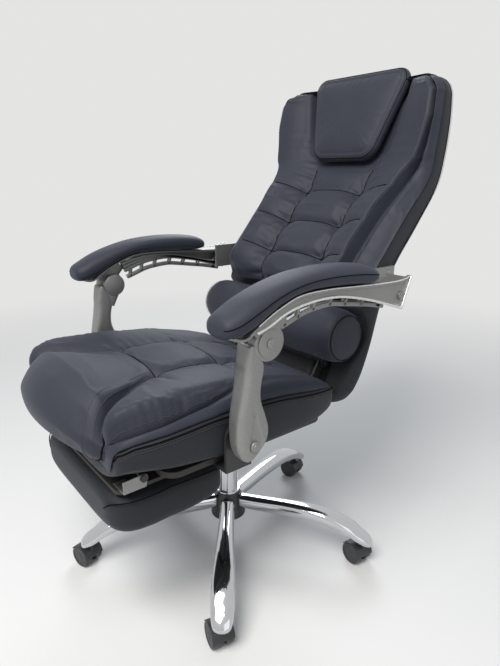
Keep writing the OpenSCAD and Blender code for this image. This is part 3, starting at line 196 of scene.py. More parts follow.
LEG_R, LEG_Z, LEG_W, LEG_H = 0.345, 0.115, 0.050, 0.038
LEGS = (
    (0.08, 0.99, 0.72, 0.94), (0.23, 1, 0.74, 0.97), (0.4, 1.015, 0.77, 1), (0.58, 1.015, 0.85, 1),
    (0.725, 0.98, 0.93, 0.97), (0.84, 0.895, 1, 0.92), (0.915, 0.8, 1, 0.87), (0.97, 0.69, 0.96, 0.76),
    (1.015, 0.62, 0.88, 0.68), (1.05, 0.57, 0.68, 0.42), (1.065, 0.55, 0.32, 0.2),
)
LEG_TURN = 51.4

FOOT_Y, FOOT_TOP = -0.382, 0.3677
FOOT_L, FOOT_T, FOOT_HALF = 0.235, 0.096, 0.190
FOOT = (
    (0, 0.3, 0.78, 0.74), (0.02, 0.16, 0.92, 0.83), (0.07, 0.06, 0.98, 0.92), (0.16, 0.0, 1, 0.98),
    (0.32, -0.03, 1, 1), (0.5, -0.05, 1, 0.985), (0.7, -0.03, 1, 1), (0.9, 0.05, 0.99, 1),
    (0.98, 0.16, 0.93, 0.965), (1, 0.3, 0.8, 0.9),
)

SIDES = ((1, "left"), (-1, "right"))

# How far the fabric may grow and move in the simulation, and the single stitch
FABRIC_GROWTH, SEAT_MOVE, BACK_MOVE = 0.003, 0.004, 0.0035
STITCH_FROM, STITCH_TO, STITCH_HALF = 0.14, 0.86, 0.00042

# Stage: reach of the floor, where it fades, and what the lamps and the camera point at
FLOOR_REACH, FADE_FROM, FADE_TO = 8, 0.9, 3.2
LAMP_TARGET, CAMERA_TARGET = Vector((0.02, 0.02, 0.62)), Vector((0.0353, 0.0439, 0.5570))


# Lines, tables and forms

def read(pairs, s):
    """A value read from a table of places and values."""
    return float(np.interp(s, [p[0] for p in pairs], [p[1] for p in pairs]))


def soften(value):
    """A share that starts and ends gently."""
    value = min(1.0, max(0.0, value))
    return value * value * (3 - 2 * value)


def curve_at(points, s):
    """Point on a smooth curve through rows of numbers, read in rows."""
    points = np.asarray(points, float)
    last = len(points) - 1
    s = min(max(s, 0.0), float(last))
    i = min(int(s), last - 1)
    t = s - i
    a, b = points[i], points[i + 1]
    before = points[i - 1] if i > 0 else 2 * a - b
    after = points[i + 2] if i + 2 <= last else 2 * b - a
    return 0.5 * (
        2 * a + (b - before) * t + (2 * before - 5 * a + 4 * b - after) * t ** 2
        + (3 * a - before - 3 * b + after) * t ** 3
    )


def outward(points, s, reach=0.5):
    """Unit vector square to a side-plane curve, towards the sitter."""
    last = len(points) - 1
    a, b = curve_at(points, max(s - reach, 0)), curve_at(points, min(s + reach, last))
    d = (b - a) / np.linalg.norm(b - a)
    return np.array((-d[1], d[0]))


def rounded(share, power):
    """A share between -1 and 1 raised to a power with its sign kept, for sections with rounded corners."""
    return math.copysign(abs(share) ** power, share)


def section(wide, high, count, power_wide, power_high, turn=0.0):
    """Points of a rounded rectangle about its middle, from its half width and half height."""
    turns = [math.tau * (k + turn) / count for k in range(count)]
    return [(wide * rounded(math.cos(a), power_wide), high * rounded(math.sin(a), power_high)) for a in turns]


def circle(x, y, z, radius, turns):
    """Points of a circle square to X."""
    return [(x, y + radius * math.cos(a), z + radius * math.sin(a)) for a in turns]


def wander(a, b=0.0, c=0.0):
    """Even, repeatable unevenness between -1 and 1."""
    return noise.noise(Vector((a, b, c)))


def spread(points, s):
    """Length along a curve at each of the places s."""
    p = np.array([curve_at(points, x) for x in s])
    return np.concatenate(([0], np.cumsum(np.linalg.norm(np.diff(p, axis=0), axis=1))))


def ring_mesh(rings):
    """Points and faces of a closed form through rings of equal count."""
    rings = np.asarray(rings, float)
    n, m = rings.shape[:2]
    faces = [
        (i * m + j, (i + 1) * m + j, (i + 1) * m + (j + 1) % m, i * m + (j + 1) % m)
        for i in range(n - 1) for j in range(m)
    ]
    faces.append(tuple(range(m)))
    faces.append(tuple(reversed(range((n - 1) * m, n * m))))
    return rings.reshape(-1, 3), faces


def tube_mesh(points, radius, sides=8, closed=False):
    """Points and faces of a round tube along a path."""
    p = np.asarray(points, float)
    n = len(p)
    ahead = np.roll(p, -1, 0) - np.roll(p, 1, 0)
    if not closed:
        ahead[0], ahead[-1] = p[1] - p[0], p[-1] - p[-2]
    ahead /= np.linalg.norm(ahead, axis=1)[:, None]
    side = np.cross(ahead[0], (0.0, 0.0, 1.0))
    if np.linalg.norm(side) < 1e-3:
        side = np.cross(ahead[0], (1.0, 0.0, 0.0))
    verts = []
    for k in range(n):
        side = side - ahead[k] * (side @ ahead[k])
        side /= np.linalg.norm(side)
        up = np.cross(ahead[k], side)
        for j in range(sides):
            a = math.tau * j / sides
            verts.append(p[k] + radius * (side * math.cos(a) + up * math.sin(a)))
    faces = []
    for k in range(n if closed else n - 1):
        for j in range(sides):
            a, b = k * sides, ((k + 1) % n) * sides
            faces.append((a + j, a + (j + 1) % sides, b + (j + 1) % sides, b + j))
    if not closed:
        faces.append(tuple(reversed(range(sides))))
        faces.append(tuple(range((n - 1) * sides, n * sides)))
    return np.array(verts), faces


def even(points, step, closed=False):
    """Points spaced evenly along a path."""
    p = np.asarray(points, float)
    if closed:
        p = np.vstack((p, p[:1]))
    length = np.concatenate(([0], np.cumsum(np.linalg.norm(np.diff(p, axis=0), axis=1))))
    count = max(int(length[-1] / step), 2)
    where = np.linspace(0, length[-1], count, endpoint=not closed)
    return np.stack([np.interp(where, length, p[:, k]) for k in range(3)], 1)


def joined(parts):
    """Points and faces of several forms as one."""
    verts, faces, start = [], [], 0
    for v, f in parts:
        verts.append(np.asarray(v, float))
        faces += [tuple(k + start for k in face) for face in f]
        start += len(v)
    return np.vstack(verts), faces


def bar(path, width, centre_x, thick):
    """A bar with rounded edges along a path in the side plane, thick square to the path."""
    p = np.asarray(path, float)
    along = np.gradient(p, axis=0)
    along /= np.linalg.norm(along, axis=1)[:, None]
    profile = section(width / 2, thick / 2, 20, 0.35, 0.35, 0.5)
    return ring_mesh([
        [(centre_x + x, y - az * h, z + ay * h) for x, h in profile] for (y, z), (ay, az) in zip(p, along)
    ])


def mirrored(form, side):
    """A form made for the sitter's left, or its mirror image."""
    verts, faces = form
    if side > 0:
        return form
    return np.asarray(verts, float) * (-1, 1, 1), [tuple(reversed(f)) for f in faces]


def beside_elbow(*moves):
    """Points in the side plane, given from the elbow."""
    return [(ELBOW[0] + y, ELBOW[1] + z) for y, z in moves]


def side_points(shares, count):
    """Evenly read points on a smooth line of the arm, in the side plane."""
    line = ARM_START + ARM_SIZE * np.array(shares)
    return np.array([curve_at(line, s) for s in np.linspace(0, len(line) - 1, count)])


def drum(radius, start, end, y, z, edge, sides=64):
    """A disc along X with rounded rims."""
    rim = ((0, edge), (edge * 0.3, edge * 0.3), (edge, 0))
    stops = [(start + x, radius - drop) for x, drop in rim]
    stops += [(end - x, radius - drop) for x, drop in reversed(rim)]
    turns = [math.tau * k / sides for k in range(sides)]
    return ring_mesh([circle(x, y, z, r, turns) for x, r in stops])


def piece(name, form, body, look, stands_for=(), smooth=0, crisp=0):
    """One object of the chair on its CAD body, with its finish and what it stands for."""
    verts, faces = form
    mesh = bpy.data.meshes.new(name)
    mesh.from_pydata([tuple(v) for v in verts], [], faces)
    mesh.validate()
    mesh.shade_smooth()
    if crisp:
        mesh.set_sharp_from_angle(angle=math.radians(crisp))
    made = bpy.data.objects.new(name, mesh)
    bpy.context.scene.collection.objects.link(made)
    made.data.materials.append(finish(look))
    if smooth:
        made.modifiers.new("Smooth", "SUBSURF").levels = smooth
        made.modifiers["Smooth"].render_levels = smooth
    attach(made, body)
    if stands_for:
        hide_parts(*stands_for)
    return made


def cushion(name, form, body, node, look="leather", smooth=1):
    """A padded piece that stands for one soft CAD node."""
    return piece(name, form, body, look, (node,), smooth)


def casting(name, form, side, body, nodes=(), look="silver", crisp=45):
    """A lacquered piece of an arm, made for the sitter's left or mirrored to the right."""
    return piece(name, mirrored(form, side), body, look, nodes, crisp=crisp)


def inflate(form, held, pressure, growth, cap, frames=20):
    """Fabric of a cushion blown out from its seams by a cloth simulation."""
    verts, faces = form
    mesh = bpy.data.meshes.new("fabric")
    mesh.from_pydata([tuple(v) for v in verts], [], faces)
    fabric = bpy.data.objects.new("fabric", mesh)
    scene = bpy.context.scene
    scene.collection.objects.link(fabric)
    group = fabric.vertex_groups.new(name="held")
    for k in np.nonzero(held > 0)[0]:
        group.add([int(k)], float(held[k]), "REPLACE")
    cloth = fabric.modifiers.new("Cloth", "CLOTH")
    s = cloth.settings
    s.quality, s.mass = 5, 0.25
    s.tension_stiffness = s.compression_stiffness = 22
    s.shear_stiffness, s.bending_stiffness = 12, 1.2
    s.tension_damping = s.compression_damping = 12
    s.use_pressure, s.uniform_pressure_force = True, pressure
    s.vertex_group_mass, s.pin_stiffness = "held", 1.0
    s.shrink_min = -growth
    s.effector_weights.gravity = 0
    cloth.collision_settings.use_collision = False
    for f in range(1, frames + 1):
        scene.frame_set(f)
    graph = bpy.context.evaluated_depsgraph_get()
    after = np.array([v.co for v in fabric.evaluated_get(graph).data.vertices])
    bpy.data.objects.remove(fabric)
    scene.frame_set(1)
    move = after - verts
    length = np.linalg.norm(move, axis=1)
    move *= (cap * np.tanh(length / cap) / np.maximum(length, 1e-9))[:, None]
    return verts + move, faces


# Finishes

class Value:
    """A socket of a finish that can be used in sums."""

    def __init__(self, finish, socket):
        self.finish, self.socket = finish, socket

    def _sum(self, operation, a, b):
        return self.finish.add("ShaderNodeMath", {"operation": operation}, {0: a, 1: b})

    def __add__(self, other):
        return self._sum("ADD", self, other)

    __radd__ = __add__

    def __sub__(self, other):
        return self._sum("SUBTRACT", self, other)

    def __rsub__(self, other):
        return self._sum("SUBTRACT", other, self)

    def __mul__(self, other):
        return self._sum("MULTIPLY", self, other)

    __rmul__ = __mul__


class Finish:
    """One material and the nodes in it."""

    def __init__(self, name):
        self.material = bpy.data.materials.new(name)
        self.material.use_nodes = True
        self.nodes = self.material.node_tree.nodes
        self.links = self.material.node_tree.links
        self.nodes.clear()

    def add(self, kind, settings=None, sockets=None, output=0):
        """Adds a node with its settings and sockets, and gives back one of its outputs."""
        node = self.nodes.new(kind)
        for key, value in (settings or {}).items():
            if key == "stops":
                while len(node.color_ramp.elements) < len(value):
                    node.color_ramp.elements.new(0.5)
                for stop, (place, colour) in zip(node.color_ramp.elements, value):
                    stop.position, stop.color = place, (*colour, 1)
            else:
                setattr(node, key, value)
        for key, value in (sockets or {}).items():
            if isinstance(value, Value):
                self.links.new(value.socket, node.inputs[key])
            else:
                node.inputs[key].default_value = value
        return Value(self, node.outputs[output])

    def place(self):
        """Coordinates on the piece itself, in metres."""
        return self.add("ShaderNodeTexCoord", output=3)

    def cloud(self, scale, detail=3.0, rough=0.5, at=None):
        """Soft noise of one scale."""
        return self.add("ShaderNodeTexNoise", {}, {
            "Vector": at or self.place(), "Scale": scale, "Detail": detail, "Roughness": rough,
        })

    def cells(self, scale, feature="F1", at=None, output=0):
        """Cells of one scale."""
        return self.add("ShaderNodeTexVoronoi", {"feature": feature}, {
            "Vector": at or self.place(), "Scale": scale,
        }, output)

    def tint(self, share, low, high):
        """Colour between two colours."""
        return self.add("ShaderNodeMix", {"data_type": "RGBA"}, {
            0: share, 6: (*low, 1), 7: (*high, 1),
        }, 2)

    def relief(self, height, depth, strength=1.0):
        """Bumps of a given depth in metres."""
        return self.add("ShaderNodeBump", {}, {"Strength": strength, "Distance": depth, "Height": height})

    def done(self, sockets):
        """Closes the finish with its surface."""
        surface = self.add("ShaderNodeBsdfPrincipled", {}, sockets)
        self.links.new(surface.socket, self.nodes.new("ShaderNodeOutputMaterial").inputs["Surface"])
        return self.material


def shade(colour, factor):
    """A colour made darker or lighter."""
    return tuple(min(1.0, c * factor) for c in colour)


def leather(name, colour, roughness, grain):
    """Black bonded leather with a fine pebble grain, soft creases and a worn sheen."""
    f = Finish(name)
    at = f.place()
    patches = f.cloud(7, 2, 0.5, at)
    creases = f.cloud(46, 4, 0.62, at)
    pebbles = f.cells(1 / grain, "SMOOTH_F1", at)
    height = pebbles * 0.5 + creases * 0.8
    return f.done({
        "Base Color": f.tint(patches * 1.6 - 0.3, shade(colour, 0.85), shade(colour, 1.18)),
        "Roughness": patches * 0.1 + pebbles * 0.06 + (roughness - 0.08),
        "Specular IOR Level": 0.3,
        "Sheen Weight": 0.1,
        "Sheen Roughness": 0.5,
        "Sheen Tint": (0.66, 0.7, 0.84, 1),
        "Normal": f.relief(height, grain * 0.6, 0.6),
    })


def seam_shadow(name, colour):
    """Painted shade: a near-black line standing for the shadow where two panels of leather dip into their
    seam.
    """
    f = Finish(name)
    dust = f.cloud(60, 3)
    return f.done({
        "Base Color": f.tint(dust, shade(colour, 0.6), shade(colour, 1.3)), "Roughness": dust * 0.1 + 0.8,
        "Specular IOR Level": 0.08,
    })


def thread(name, colour):
    """Twisted sewing thread."""
    f = Finish(name)
    twist = f.cloud(2600, 1, 0.5)
    return f.done({"Base Color": f.tint(twist, shade(colour, 0.7), shade(colour, 1.3)), "Roughness": 0.7})


def chrome(name, colour):
    """Polished chrome with faint smears."""
    f = Finish(name)
    at = f.place()
    smears = f.cloud(22, 4, 0.6, at)
    return f.done({
        "Base Color": f.tint(smears, shade(colour, 0.94), colour),
        "Metallic": 1.0,
        "Roughness": smears * 0.09 + 0.035,
        "Normal": f.relief(f.cloud(60, 2, 0.5, at), 0.0002, 0.12),
    })


def silver_paint(name, colour, roughness):
    """Metallic silver lacquer with fine flakes."""
    f = Finish(name)
    at = f.place()
    flakes = f.cells(1500, "F1", at, 1)
    level = f.add("ShaderNodeSeparateColor", {}, {0: flakes})
    patches = f.cloud(9, 3, 0.5, at)
    return f.done({
        "Base Color": f.tint(level * 0.6 + patches * 0.4, shade(colour, 0.72), shade(colour, 1.25)),
        "Metallic": 0.72,
        "Roughness": level * 0.16 + (roughness - 0.08),
        "Coat Weight": 0.15,
        "Coat Roughness": 0.25,
        "Normal": f.relief(level, 0.00012, 0.5),
    })


def moulded(name, colour, roughness, pitch=420):
    """Moulded plastic with a fine spark texture."""
    f = Finish(name)
    at = f.place()
    spark = f.cloud(pitch, 2, 0.6, at)
    patches = f.cloud(14, 3, 0.5, at)
    return f.done({
        "Base Color": f.tint(patches, shade(colour, 0.8), shade(colour, 1.3)),
        "Roughness": patches * 0.12 + spark * 0.08 + (roughness - 0.1),
        "Normal": f.relief(spark, 0.00018, 0.5),
    })


def steel(name, colour, roughness):
    """Bright machined steel with fine turning marks."""
    f = Finish(name)
    at = f.place()
    marks = f.cloud(900, 2, 0.5, f.add("ShaderNodeMapping", {}, {"Vector": at, "Scale": (0.05, 1, 1)}))
    return f.done({
        "Base Color": f.tint(marks, shade(colour, 0.85), colour),
        "Metallic": 1.0,
        "Roughness": marks * 0.15 + (roughness - 0.07),
        "Normal": f.relief(marks, 0.00008, 0.4),
    })


def plywood(name, colour):
    """Stained plywood with its long grain."""
    f = Finish(name)
    at = f.place()
    grain = f.cloud(60, 4, 0.6, f.add("ShaderNodeMapping", {}, {"Vector": at, "Scale": (1, 0.08, 1)}))
    return f.done({
        "Base Color": f.tint(grain, shade(colour, 0.6), shade(colour, 1.2)),
        "Roughness": grain * 0.2 + 0.5,
        "Normal": f.relief(grain, 0.0002, 0.4),
    })


# Settings that a user would change

class ChairLeather(bpy.types.PropertyGroup):
    """Upholstery of the chair."""

    colour: FloatVectorProperty(
        name="Leather", description="Colour of the sewn cushions", subtype="COLOR", size=3,
        min=0, max=1, default=(0.021, 0.0235, 0.036),
    )
    side_colour: FloatVectorProperty(
        name="Side leather", description="Colour of the covers of the seat box, back box and footrest",
        subtype="COLOR", size=3, min=0, max=1, default=(0.0125, 0.0132, 0.0165),
    )
    roughness: FloatProperty(
        name="Roughness", description="Roughness of the leather", min=0.2, max=0.9, default=0.6,
    )
    grain: FloatProperty(
        name="Grain", description="Width of one pebble of the leather's grain", min=0.0005, max=0.004,
        default=0.0014, precision=4, unit="LENGTH",
    )
    thread: FloatVectorProperty(
        name="Thread", description="Colour of the sewing thread", subtype="COLOR", size=3,
        min=0, max=1, default=(0.045, 0.046, 0.052),
    )
    stitch: FloatProperty(
        name="Stitch", description="Length of one stitch", min=0.002, max=0.01, default=0.0042,
        precision=4, unit="LENGTH",
    )
    pressure: FloatProperty(
        name="Padding", description="Pressure of the filling against the covers", min=0, max=12, default=4.0,
    )


class ChairMetal(bpy.types.PropertyGroup):
    """Metal and plastic of the chair."""

    chrome: FloatVectorProperty(
        name="Chrome", description="Colour of the legs and the column", subtype="COLOR", size=3,
        min=0, max=1, default=(0.60, 0.61, 0.63),
    )
    silver: FloatVectorProperty(
        name="Arm lacquer", description="Colour of the arm frames and posts", subtype="COLOR", size=3,
        min=0, max=1, default=(0.27, 0.27, 0.265),
    )
    silver_roughness: FloatProperty(
        name="Arm roughness", description="Roughness of the arm lacquer", min=0.1, max=0.9, default=0.42,
    )
    plastic: FloatVectorProperty(
        name="Plastic", description="Colour of the casters and the hub", subtype="COLOR", size=3,
        min=0, max=1, default=(0.022, 0.022, 0.024),
    )
    edge: FloatProperty(
        name="Edge radius", description="Radius of the softened edges of rigid pieces", min=0, max=0.004,
        default=0.0008, precision=4, unit="LENGTH",
    )


class ChairStage(bpy.types.PropertyGroup):
    """Floor, lights and camera."""

    floor: FloatVectorProperty(
        name="Floor", description="Colour of the floor and the background", subtype="COLOR", size=3,
        min=0, max=1, default=(0.74, 0.74, 0.735),
    )
    far: FloatProperty(
        name="Background", description="Brightness of the background beside the floor", default=1.05,
        min=0, max=2,
    )
    key: FloatProperty(
        name="Key light", description="Power of the large light", default=86, min=0, unit="POWER",
    )
    fill: FloatProperty(
        name="Fill light", description="Power of the fill light", default=7, min=0, unit="POWER",
    )
    rim: FloatProperty(
        name="Rim light", description="Power of the light behind", default=30, min=0, unit="POWER",
    )
    sky: FloatProperty(
        name="Sky", description="Strength of the even light all round", default=0.3, min=0, max=2,
    )
    lens: FloatProperty(name="Lens", description="Focal length of the camera", default=28.1, min=10, max=200)
    azimuth: FloatProperty(
        name="Azimuth", description="Turn of the camera about the chair from its front",
        default=math.radians(51.19), subtype="ANGLE",
    )
    elevation: FloatProperty(
        name="Elevation", description="Height of the camera above the horizon",
        default=math.radians(17.21), subtype="ANGLE",
    )
    distance: FloatProperty(
        name="Distance", description="Distance of the camera from its target", default=1.2105, min=0.3,
        unit="LENGTH",
    )


class ChairSettings(bpy.types.PropertyGroup):
    """All settings of the chair."""

    leather: PointerProperty(type=ChairLeather, name="Leather", description="Upholstery")
    metal: PointerProperty(type=ChairMetal, name="Metal", description="Metal and plastic")
    stage: PointerProperty(type=ChairStage, name="Stage", description="Floor, lights and camera")


finishes = {}


def settings():
    """The chair's settings in the scene."""
    return bpy.context.scene.chair


def finish(name):
    """The named finish, made when it is first asked for."""
    if name not in finishes:
        hide, metal = settings().leather, settings().metal
        makers = {
            "leather": lambda: leather("Leather", hide.colour, hide.roughness, hide.grain),
            "side leather": lambda: leather(
                "Side leather", hide.side_colour, hide.roughness + 0.05, hide.grain,
            ),
            # Near-black painted shade for the seam cords, standing for the shadow where the leather dips into
            # its seams
            "painted seam shade": lambda: seam_shadow("Seam shadow", shade(hide.side_colour, 0.16)),
            "thread": lambda: thread("Sewing thread", hide.thread),
            "chrome": lambda: chrome("Chrome", metal.chrome),
            "silver": lambda: silver_paint("Silver lacquer", metal.silver, metal.silver_roughness),
            # Lighter, glossier copy of the arm lacquer: a painted highlight along the raised rims
            "silver highlight": lambda: silver_paint(
                "Silver rim highlight", shade(metal.silver, 2.7), metal.silver_roughness - 0.16,
            ),
            "plastic": lambda: moulded("Moulded plastic", metal.plastic, 0.42),
            "hub": lambda: moulded("Hub enamel", shade(metal.plastic, 0.7), 0.24, 200),
            "wheel": lambda: moulded("Wheel plastic", shade(metal.plastic, 1.5), 0.5),
            "black steel": lambda: moulded("Black enamelled steel", shade(metal.plastic, 0.8), 0.38, 160),
            "steel": lambda: steel("Bright steel", (0.42, 0.42, 0.43), 0.28),
            "plywood": lambda: plywood("Black stained plywood", (0.026, 0.024, 0.022)),
        }
        finishes[name] = makers[name]()
    return finishes[name]


# Sewing

def stitches(name, runs, body, lift=0.0004):
    """Rows of single stitches along paths, each path with its outward directions."""
    length = settings().leather.stitch
    parts = []
    for points, normals in runs:
        p = np.asarray(points, float)
        n = np.asarray(normals, float)
        if n.ndim == 1:
            n = np.tile(n, (len(p), 1))
        far = np.concatenate(([0], np.cumsum(np.linalg.norm(np.diff(p, axis=0), axis=1))))
        for k in range(int(far[-1] / length)):
            a, b = (k + STITCH_FROM) * length, (k + STITCH_TO) * length
            start, end, up = (
                np.array([np.interp(w, far, q[:, c]) for c in range(3)])
                for w, q in ((a, p), (b, p), ((a + b) / 2, n))
            )
            ahead = end - start
            size = np.linalg.norm(ahead)
            if size < 1e-5:
                continue
            ahead /= size
            up -= ahead * (up @ ahead)
            up /= max(np.linalg.norm(up), 1e-9)
            side = np.cross(up, ahead) * STITCH_HALF
            mid = (start + end) / 2
            low, top = mid + up * (lift - 0.0006), mid + up * (lift + 0.0004)
            half = ahead * size / 2
            v = [
                low - half - side, low - half + side, low + half + side, low + half - side,
                top - half * 0.7 - side * 0.6, top - half * 0.7 + side * 0.6,
                top + half * 0.7 + side * 0.6, top + half * 0.7 - side * 0.6,
            ]
            parts.append((v, [(4, 5, 6, 7), (0, 4, 7, 3), (1, 2, 6, 5), (0, 1, 5, 4), (3, 7, 6, 2)]))
    return piece(name, joined(parts), body, "thread")


def cords(name, paths, body, radius, closed=False):
    """Cords along paths in near-black painted seam shade, standing for the shadow in the seams."""
    parts = [tube_mesh(even(p, max(radius * 2.2, 0.003), closed), radius, 8, closed) for p in paths]
    return piece(name, joined(parts), body, "painted seam shade")


class SewnPad:
    """A sewn pad over a side-plane curve: middle panels, side pillows, seams and tufted rows."""

    def __init__(self, line, half, places, marks, columns):
        self.line, self.half, self.places, self.marks = line, half, places, marks
        right = [(0, 0.0)]
        for zone, count in enumerate(columns):
            for k in range(1, count + 1):
                v = k / count
                v = (1 - (1 - v) ** 1.35, v ** 0.92, 1 - (1 - v) ** 1.25, v)[zone]
                right.append((zone, v))
        self.columns = [(-1, *c) for c in reversed(right[1:])] + [(1, *c) for c in right]
        self.middle = len(right) - 1
        self.ends = [sum(columns[:k + 1]) for k in range(len(columns))]
        self.seam_index, self.crest_index = self.ends[0], self.ends[1]
        self.length = spread(line, places)

    def across(self, s, zone, v):
        """Distance from the middle to a share of a zone at one place."""
        start = self.half * read(self.marks[zone - 1], s) if zone else 0.0
        return start + (self.half * read(self.marks[zone], s) - start) * v

    def build(self, thickness, hollow=lambda s, x: 0.0):
        """Rings of the pad, each with its sewn face and then its rear."""
        rings = []
        for i, s in enumerate(self.places):
            p, n = curve_at(self.line, s), outward(self.line, s)
            ring = []
            for side, zone, v in self.columns:
                x = self.across(s, zone, v)
                t = thickness(s, self.length[i], side, zone, v, x) - hollow(s, x)
                q = p + n * t
                ring.append((side * x, q[0], q[1]))
            edge = self.across(s, len(self.marks) - 1, 1.0)
            for share in (0.94, 0.6, 0.2, -0.2, -0.6, -0.94):
                q = p - n * (hollow(s, abs(share) * edge) - 0.0004)
                ring.append((share * edge, q[0], q[1]))
            rings.append(ring)
        self.count = len(rings[0])
        return ring_mesh(rings)

    def held(self, loose):
        """How firmly each point is held: rear, rim and ends wholly, and the rest as a function says."""
        n = len(self.places)
        held = np.zeros((n, self.count))
        face = len(self.columns)
        held[:, face:] = 1
        held[:, 0] = held[:, face - 1] = 1
        held[0] = held[-1] = 1
        for i, s in enumerate(self.places):
            for j in range(face):
                held[i, j] = max(held[i, j], loose(s, abs(j - self.middle)))
        return held.ravel()

    def path(self, verts, cells):
        """Points at (station, column) pairs, and the outward directions there."""
        grid = np.asarray(verts).reshape(len(self.places), self.count, 3)
        face = len(self.columns)
        along = np.gradient(grid[:, :face], axis=0)
        over = np.gradient(grid[:, :face], axis=1)
        up = np.cross(over, along)
        up /= np.maximum(np.linalg.norm(up, axis=2), 1e-9)[..., None]
        i = [c[0] for c in cells]
        j = [c[1] + self.middle for c in cells]
        return grid[i, j], up[i, j]

    def between(self, start, end):
        """Stations whose places lie between two places."""
        return [i for i, s in enumerate(self.places) if start < s < end]

    def along(self, verts, stations, column):
        """The path along one column."""
        return self.path(verts, [(i, column) for i in stations])

    def over(self, verts, rows, reach):
        """The paths over the pad at its tufted rows, out to a column on both sides."""
        stations = [int(np.argmin([abs(s - r) for s in self.places])) for r in rows]
        return [self.path(verts, [(i, j) for j in range(-reach, reach + 1)]) for i in stations]


def near(s, rows, reach):
    """How near a place is to one of the rows: 1 on a row, and less away from it."""
    return max(math.exp(-abs((s - r) / reach) ** 1.4) for r in rows)


def folds(along, away, pitch, reach, seed):
    """Gathers that fade away from a seam."""
    wave = along / pitch + 0.9 * wander(along / pitch * 0.6, seed)
    ridge = 0.5 + 0.5 * math.cos(math.tau * wave)
    size = 0.6 + 0.6 * wander(along / pitch * 0.8, seed, 4.7)
    return ridge ** 1.6 * max(size, 0.1) * math.exp(-(away / reach) ** 1.3)


# Stage

class CHAIR_OT_stage(bpy.types.Operator):
    """Builds the floor, the lights, the background and the camera"""

    bl_idname = "chair.stage"
    bl_label = "Stage"

    def execute(self, context):
        s = settings().stage
        scene = context.scene
        scene.view_settings.view_transform = "Standard"
        mesh = bpy.data.meshes.new("floor")
        corners = ((-1, -1), (1, -1), (1, 1), (-1, 1))
        mesh.from_pydata([(FLOOR_REACH * x, FLOOR_REACH * y, 0) for x, y in corners], [], [(0, 1, 2, 3)])
        floor = bpy.data.objects.new("floor", mesh)
        scene.collection.objects.link(floor)
        f = Finish("Floor")
        grain = f.cloud(90, 3, 0.6)
        away = f.add("ShaderNodeVectorMath", {"operation": "LENGTH"}, {0: f.place()}, 1)
        fade = f.add("ShaderNodeMapRange", {"interpolation_type": "SMOOTHSTEP"}, {
            "Value": away, 1: FADE_FROM, 2: FADE_TO,
        })
        seen = f.add("ShaderNodeLightPath", {}, {}, 0)
        mirror = f.add("ShaderNodeLightPath", {}, {}, 3)
        plain = f.add("ShaderNodeBsdfPrincipled", {}, {
            "Base Color": f.tint(grain, shade(s.floor, 0.985), shade(s.floor, 1.01)), "Roughness": 0.75,
            "Normal": f.relief(grain, 0.0004, 0.15),
        })
        far = f.add("ShaderNodeEmission", {}, {"Color": (*shade(s.floor, s.far), 1)})
        look = f.add("ShaderNodeMixShader", {}, {0: fade * (seen + mirror), 1: plain, 2: far})
        f.links.new(look.socket, f.nodes.new("ShaderNodeOutputMaterial").inputs["Surface"])
        mesh.materials.append(f.material)

        world = bpy.data.worlds.new("Studio")
        world.use_nodes = True
        nodes, links = world.node_tree.nodes, world.node_tree.links
        nodes.clear()
        seen = nodes.new("ShaderNodeLightPath")
        shown, light = nodes.new("ShaderNodeBackground"), nodes.new("ShaderNodeBackground")
        shown.inputs["Color"].default_value = (*shade(s.floor, s.far), 1)
        light.inputs["Color"].default_value = (0.93, 0.96, 1, 1)
        light.inputs["Strength"].default_value = s.sky
        mix, out = nodes.new("ShaderNodeMixShader"), nodes.new("ShaderNodeOutputWorld")
        either, both = nodes.new("ShaderNodeMath"), nodes.new("ShaderNodeMath")
        for node in (either, both):
            node.operation, node.use_clamp = "ADD", True
        links.new(seen.outputs["Is Glossy Ray"], either.inputs[0])
        links.new(seen.outputs["Is Transmission Ray"], either.inputs[1])
        links.new(either.outputs[0], both.inputs[0])
        links.new(seen.outputs["Is Camera Ray"], both.inputs[1])
        links.new(both.outputs[0], mix.inputs[0])
        links.new(light.outputs[0], mix.inputs[1])
        links.new(shown.outputs[0], mix.inputs[2])
        links.new(mix.outputs[0], out.inputs[0])
        scene.world = world

        for name, power, size, place, tone in (
            ("Key", s.key, 1.3, (0.75, -1.45, 2.6), (1, 0.985, 0.96)),
            ("Fill", s.fill, 1.8, (2.4, -0.6, 1.3), (0.93, 0.96, 1)),
            ("Rim", s.rim, 1.2, (-1.8, 1.5, 2.1), (0.9, 0.95, 1)),
        ):
            lamp = bpy.data.lights.new(name, "AREA")
            lamp.energy, lamp.size, lamp.color = power, size, tone
            made = bpy.data.objects.new(name, lamp)
            scene.collection.objects.link(made)
            made.location = place
            made.rotation_euler = (LAMP_TARGET - Vector(place)).to_track_quat("-Z", "Y").to_euler()

        camera = bpy.data.cameras.new("Camera")
        camera.lens, camera.sensor_width, camera.sensor_fit = s.lens, 36, "AUTO"
        camera.clip_start = 0.05
        made = bpy.data.objects.new("Camera", camera)
        scene.collection.objects.link(made)
        a, e = s.azimuth, s.elevation
        back = Vector((math.sin(a) * math.cos(e), -math.cos(a) * math.cos(e), math.sin(e)))
        made.location = CAMERA_TARGET + back * s.distance
        made.rotation_euler = (-back).to_track_quat("-Z", "Y").to_euler()
        scene.camera = made
        return {"FINISHED"}


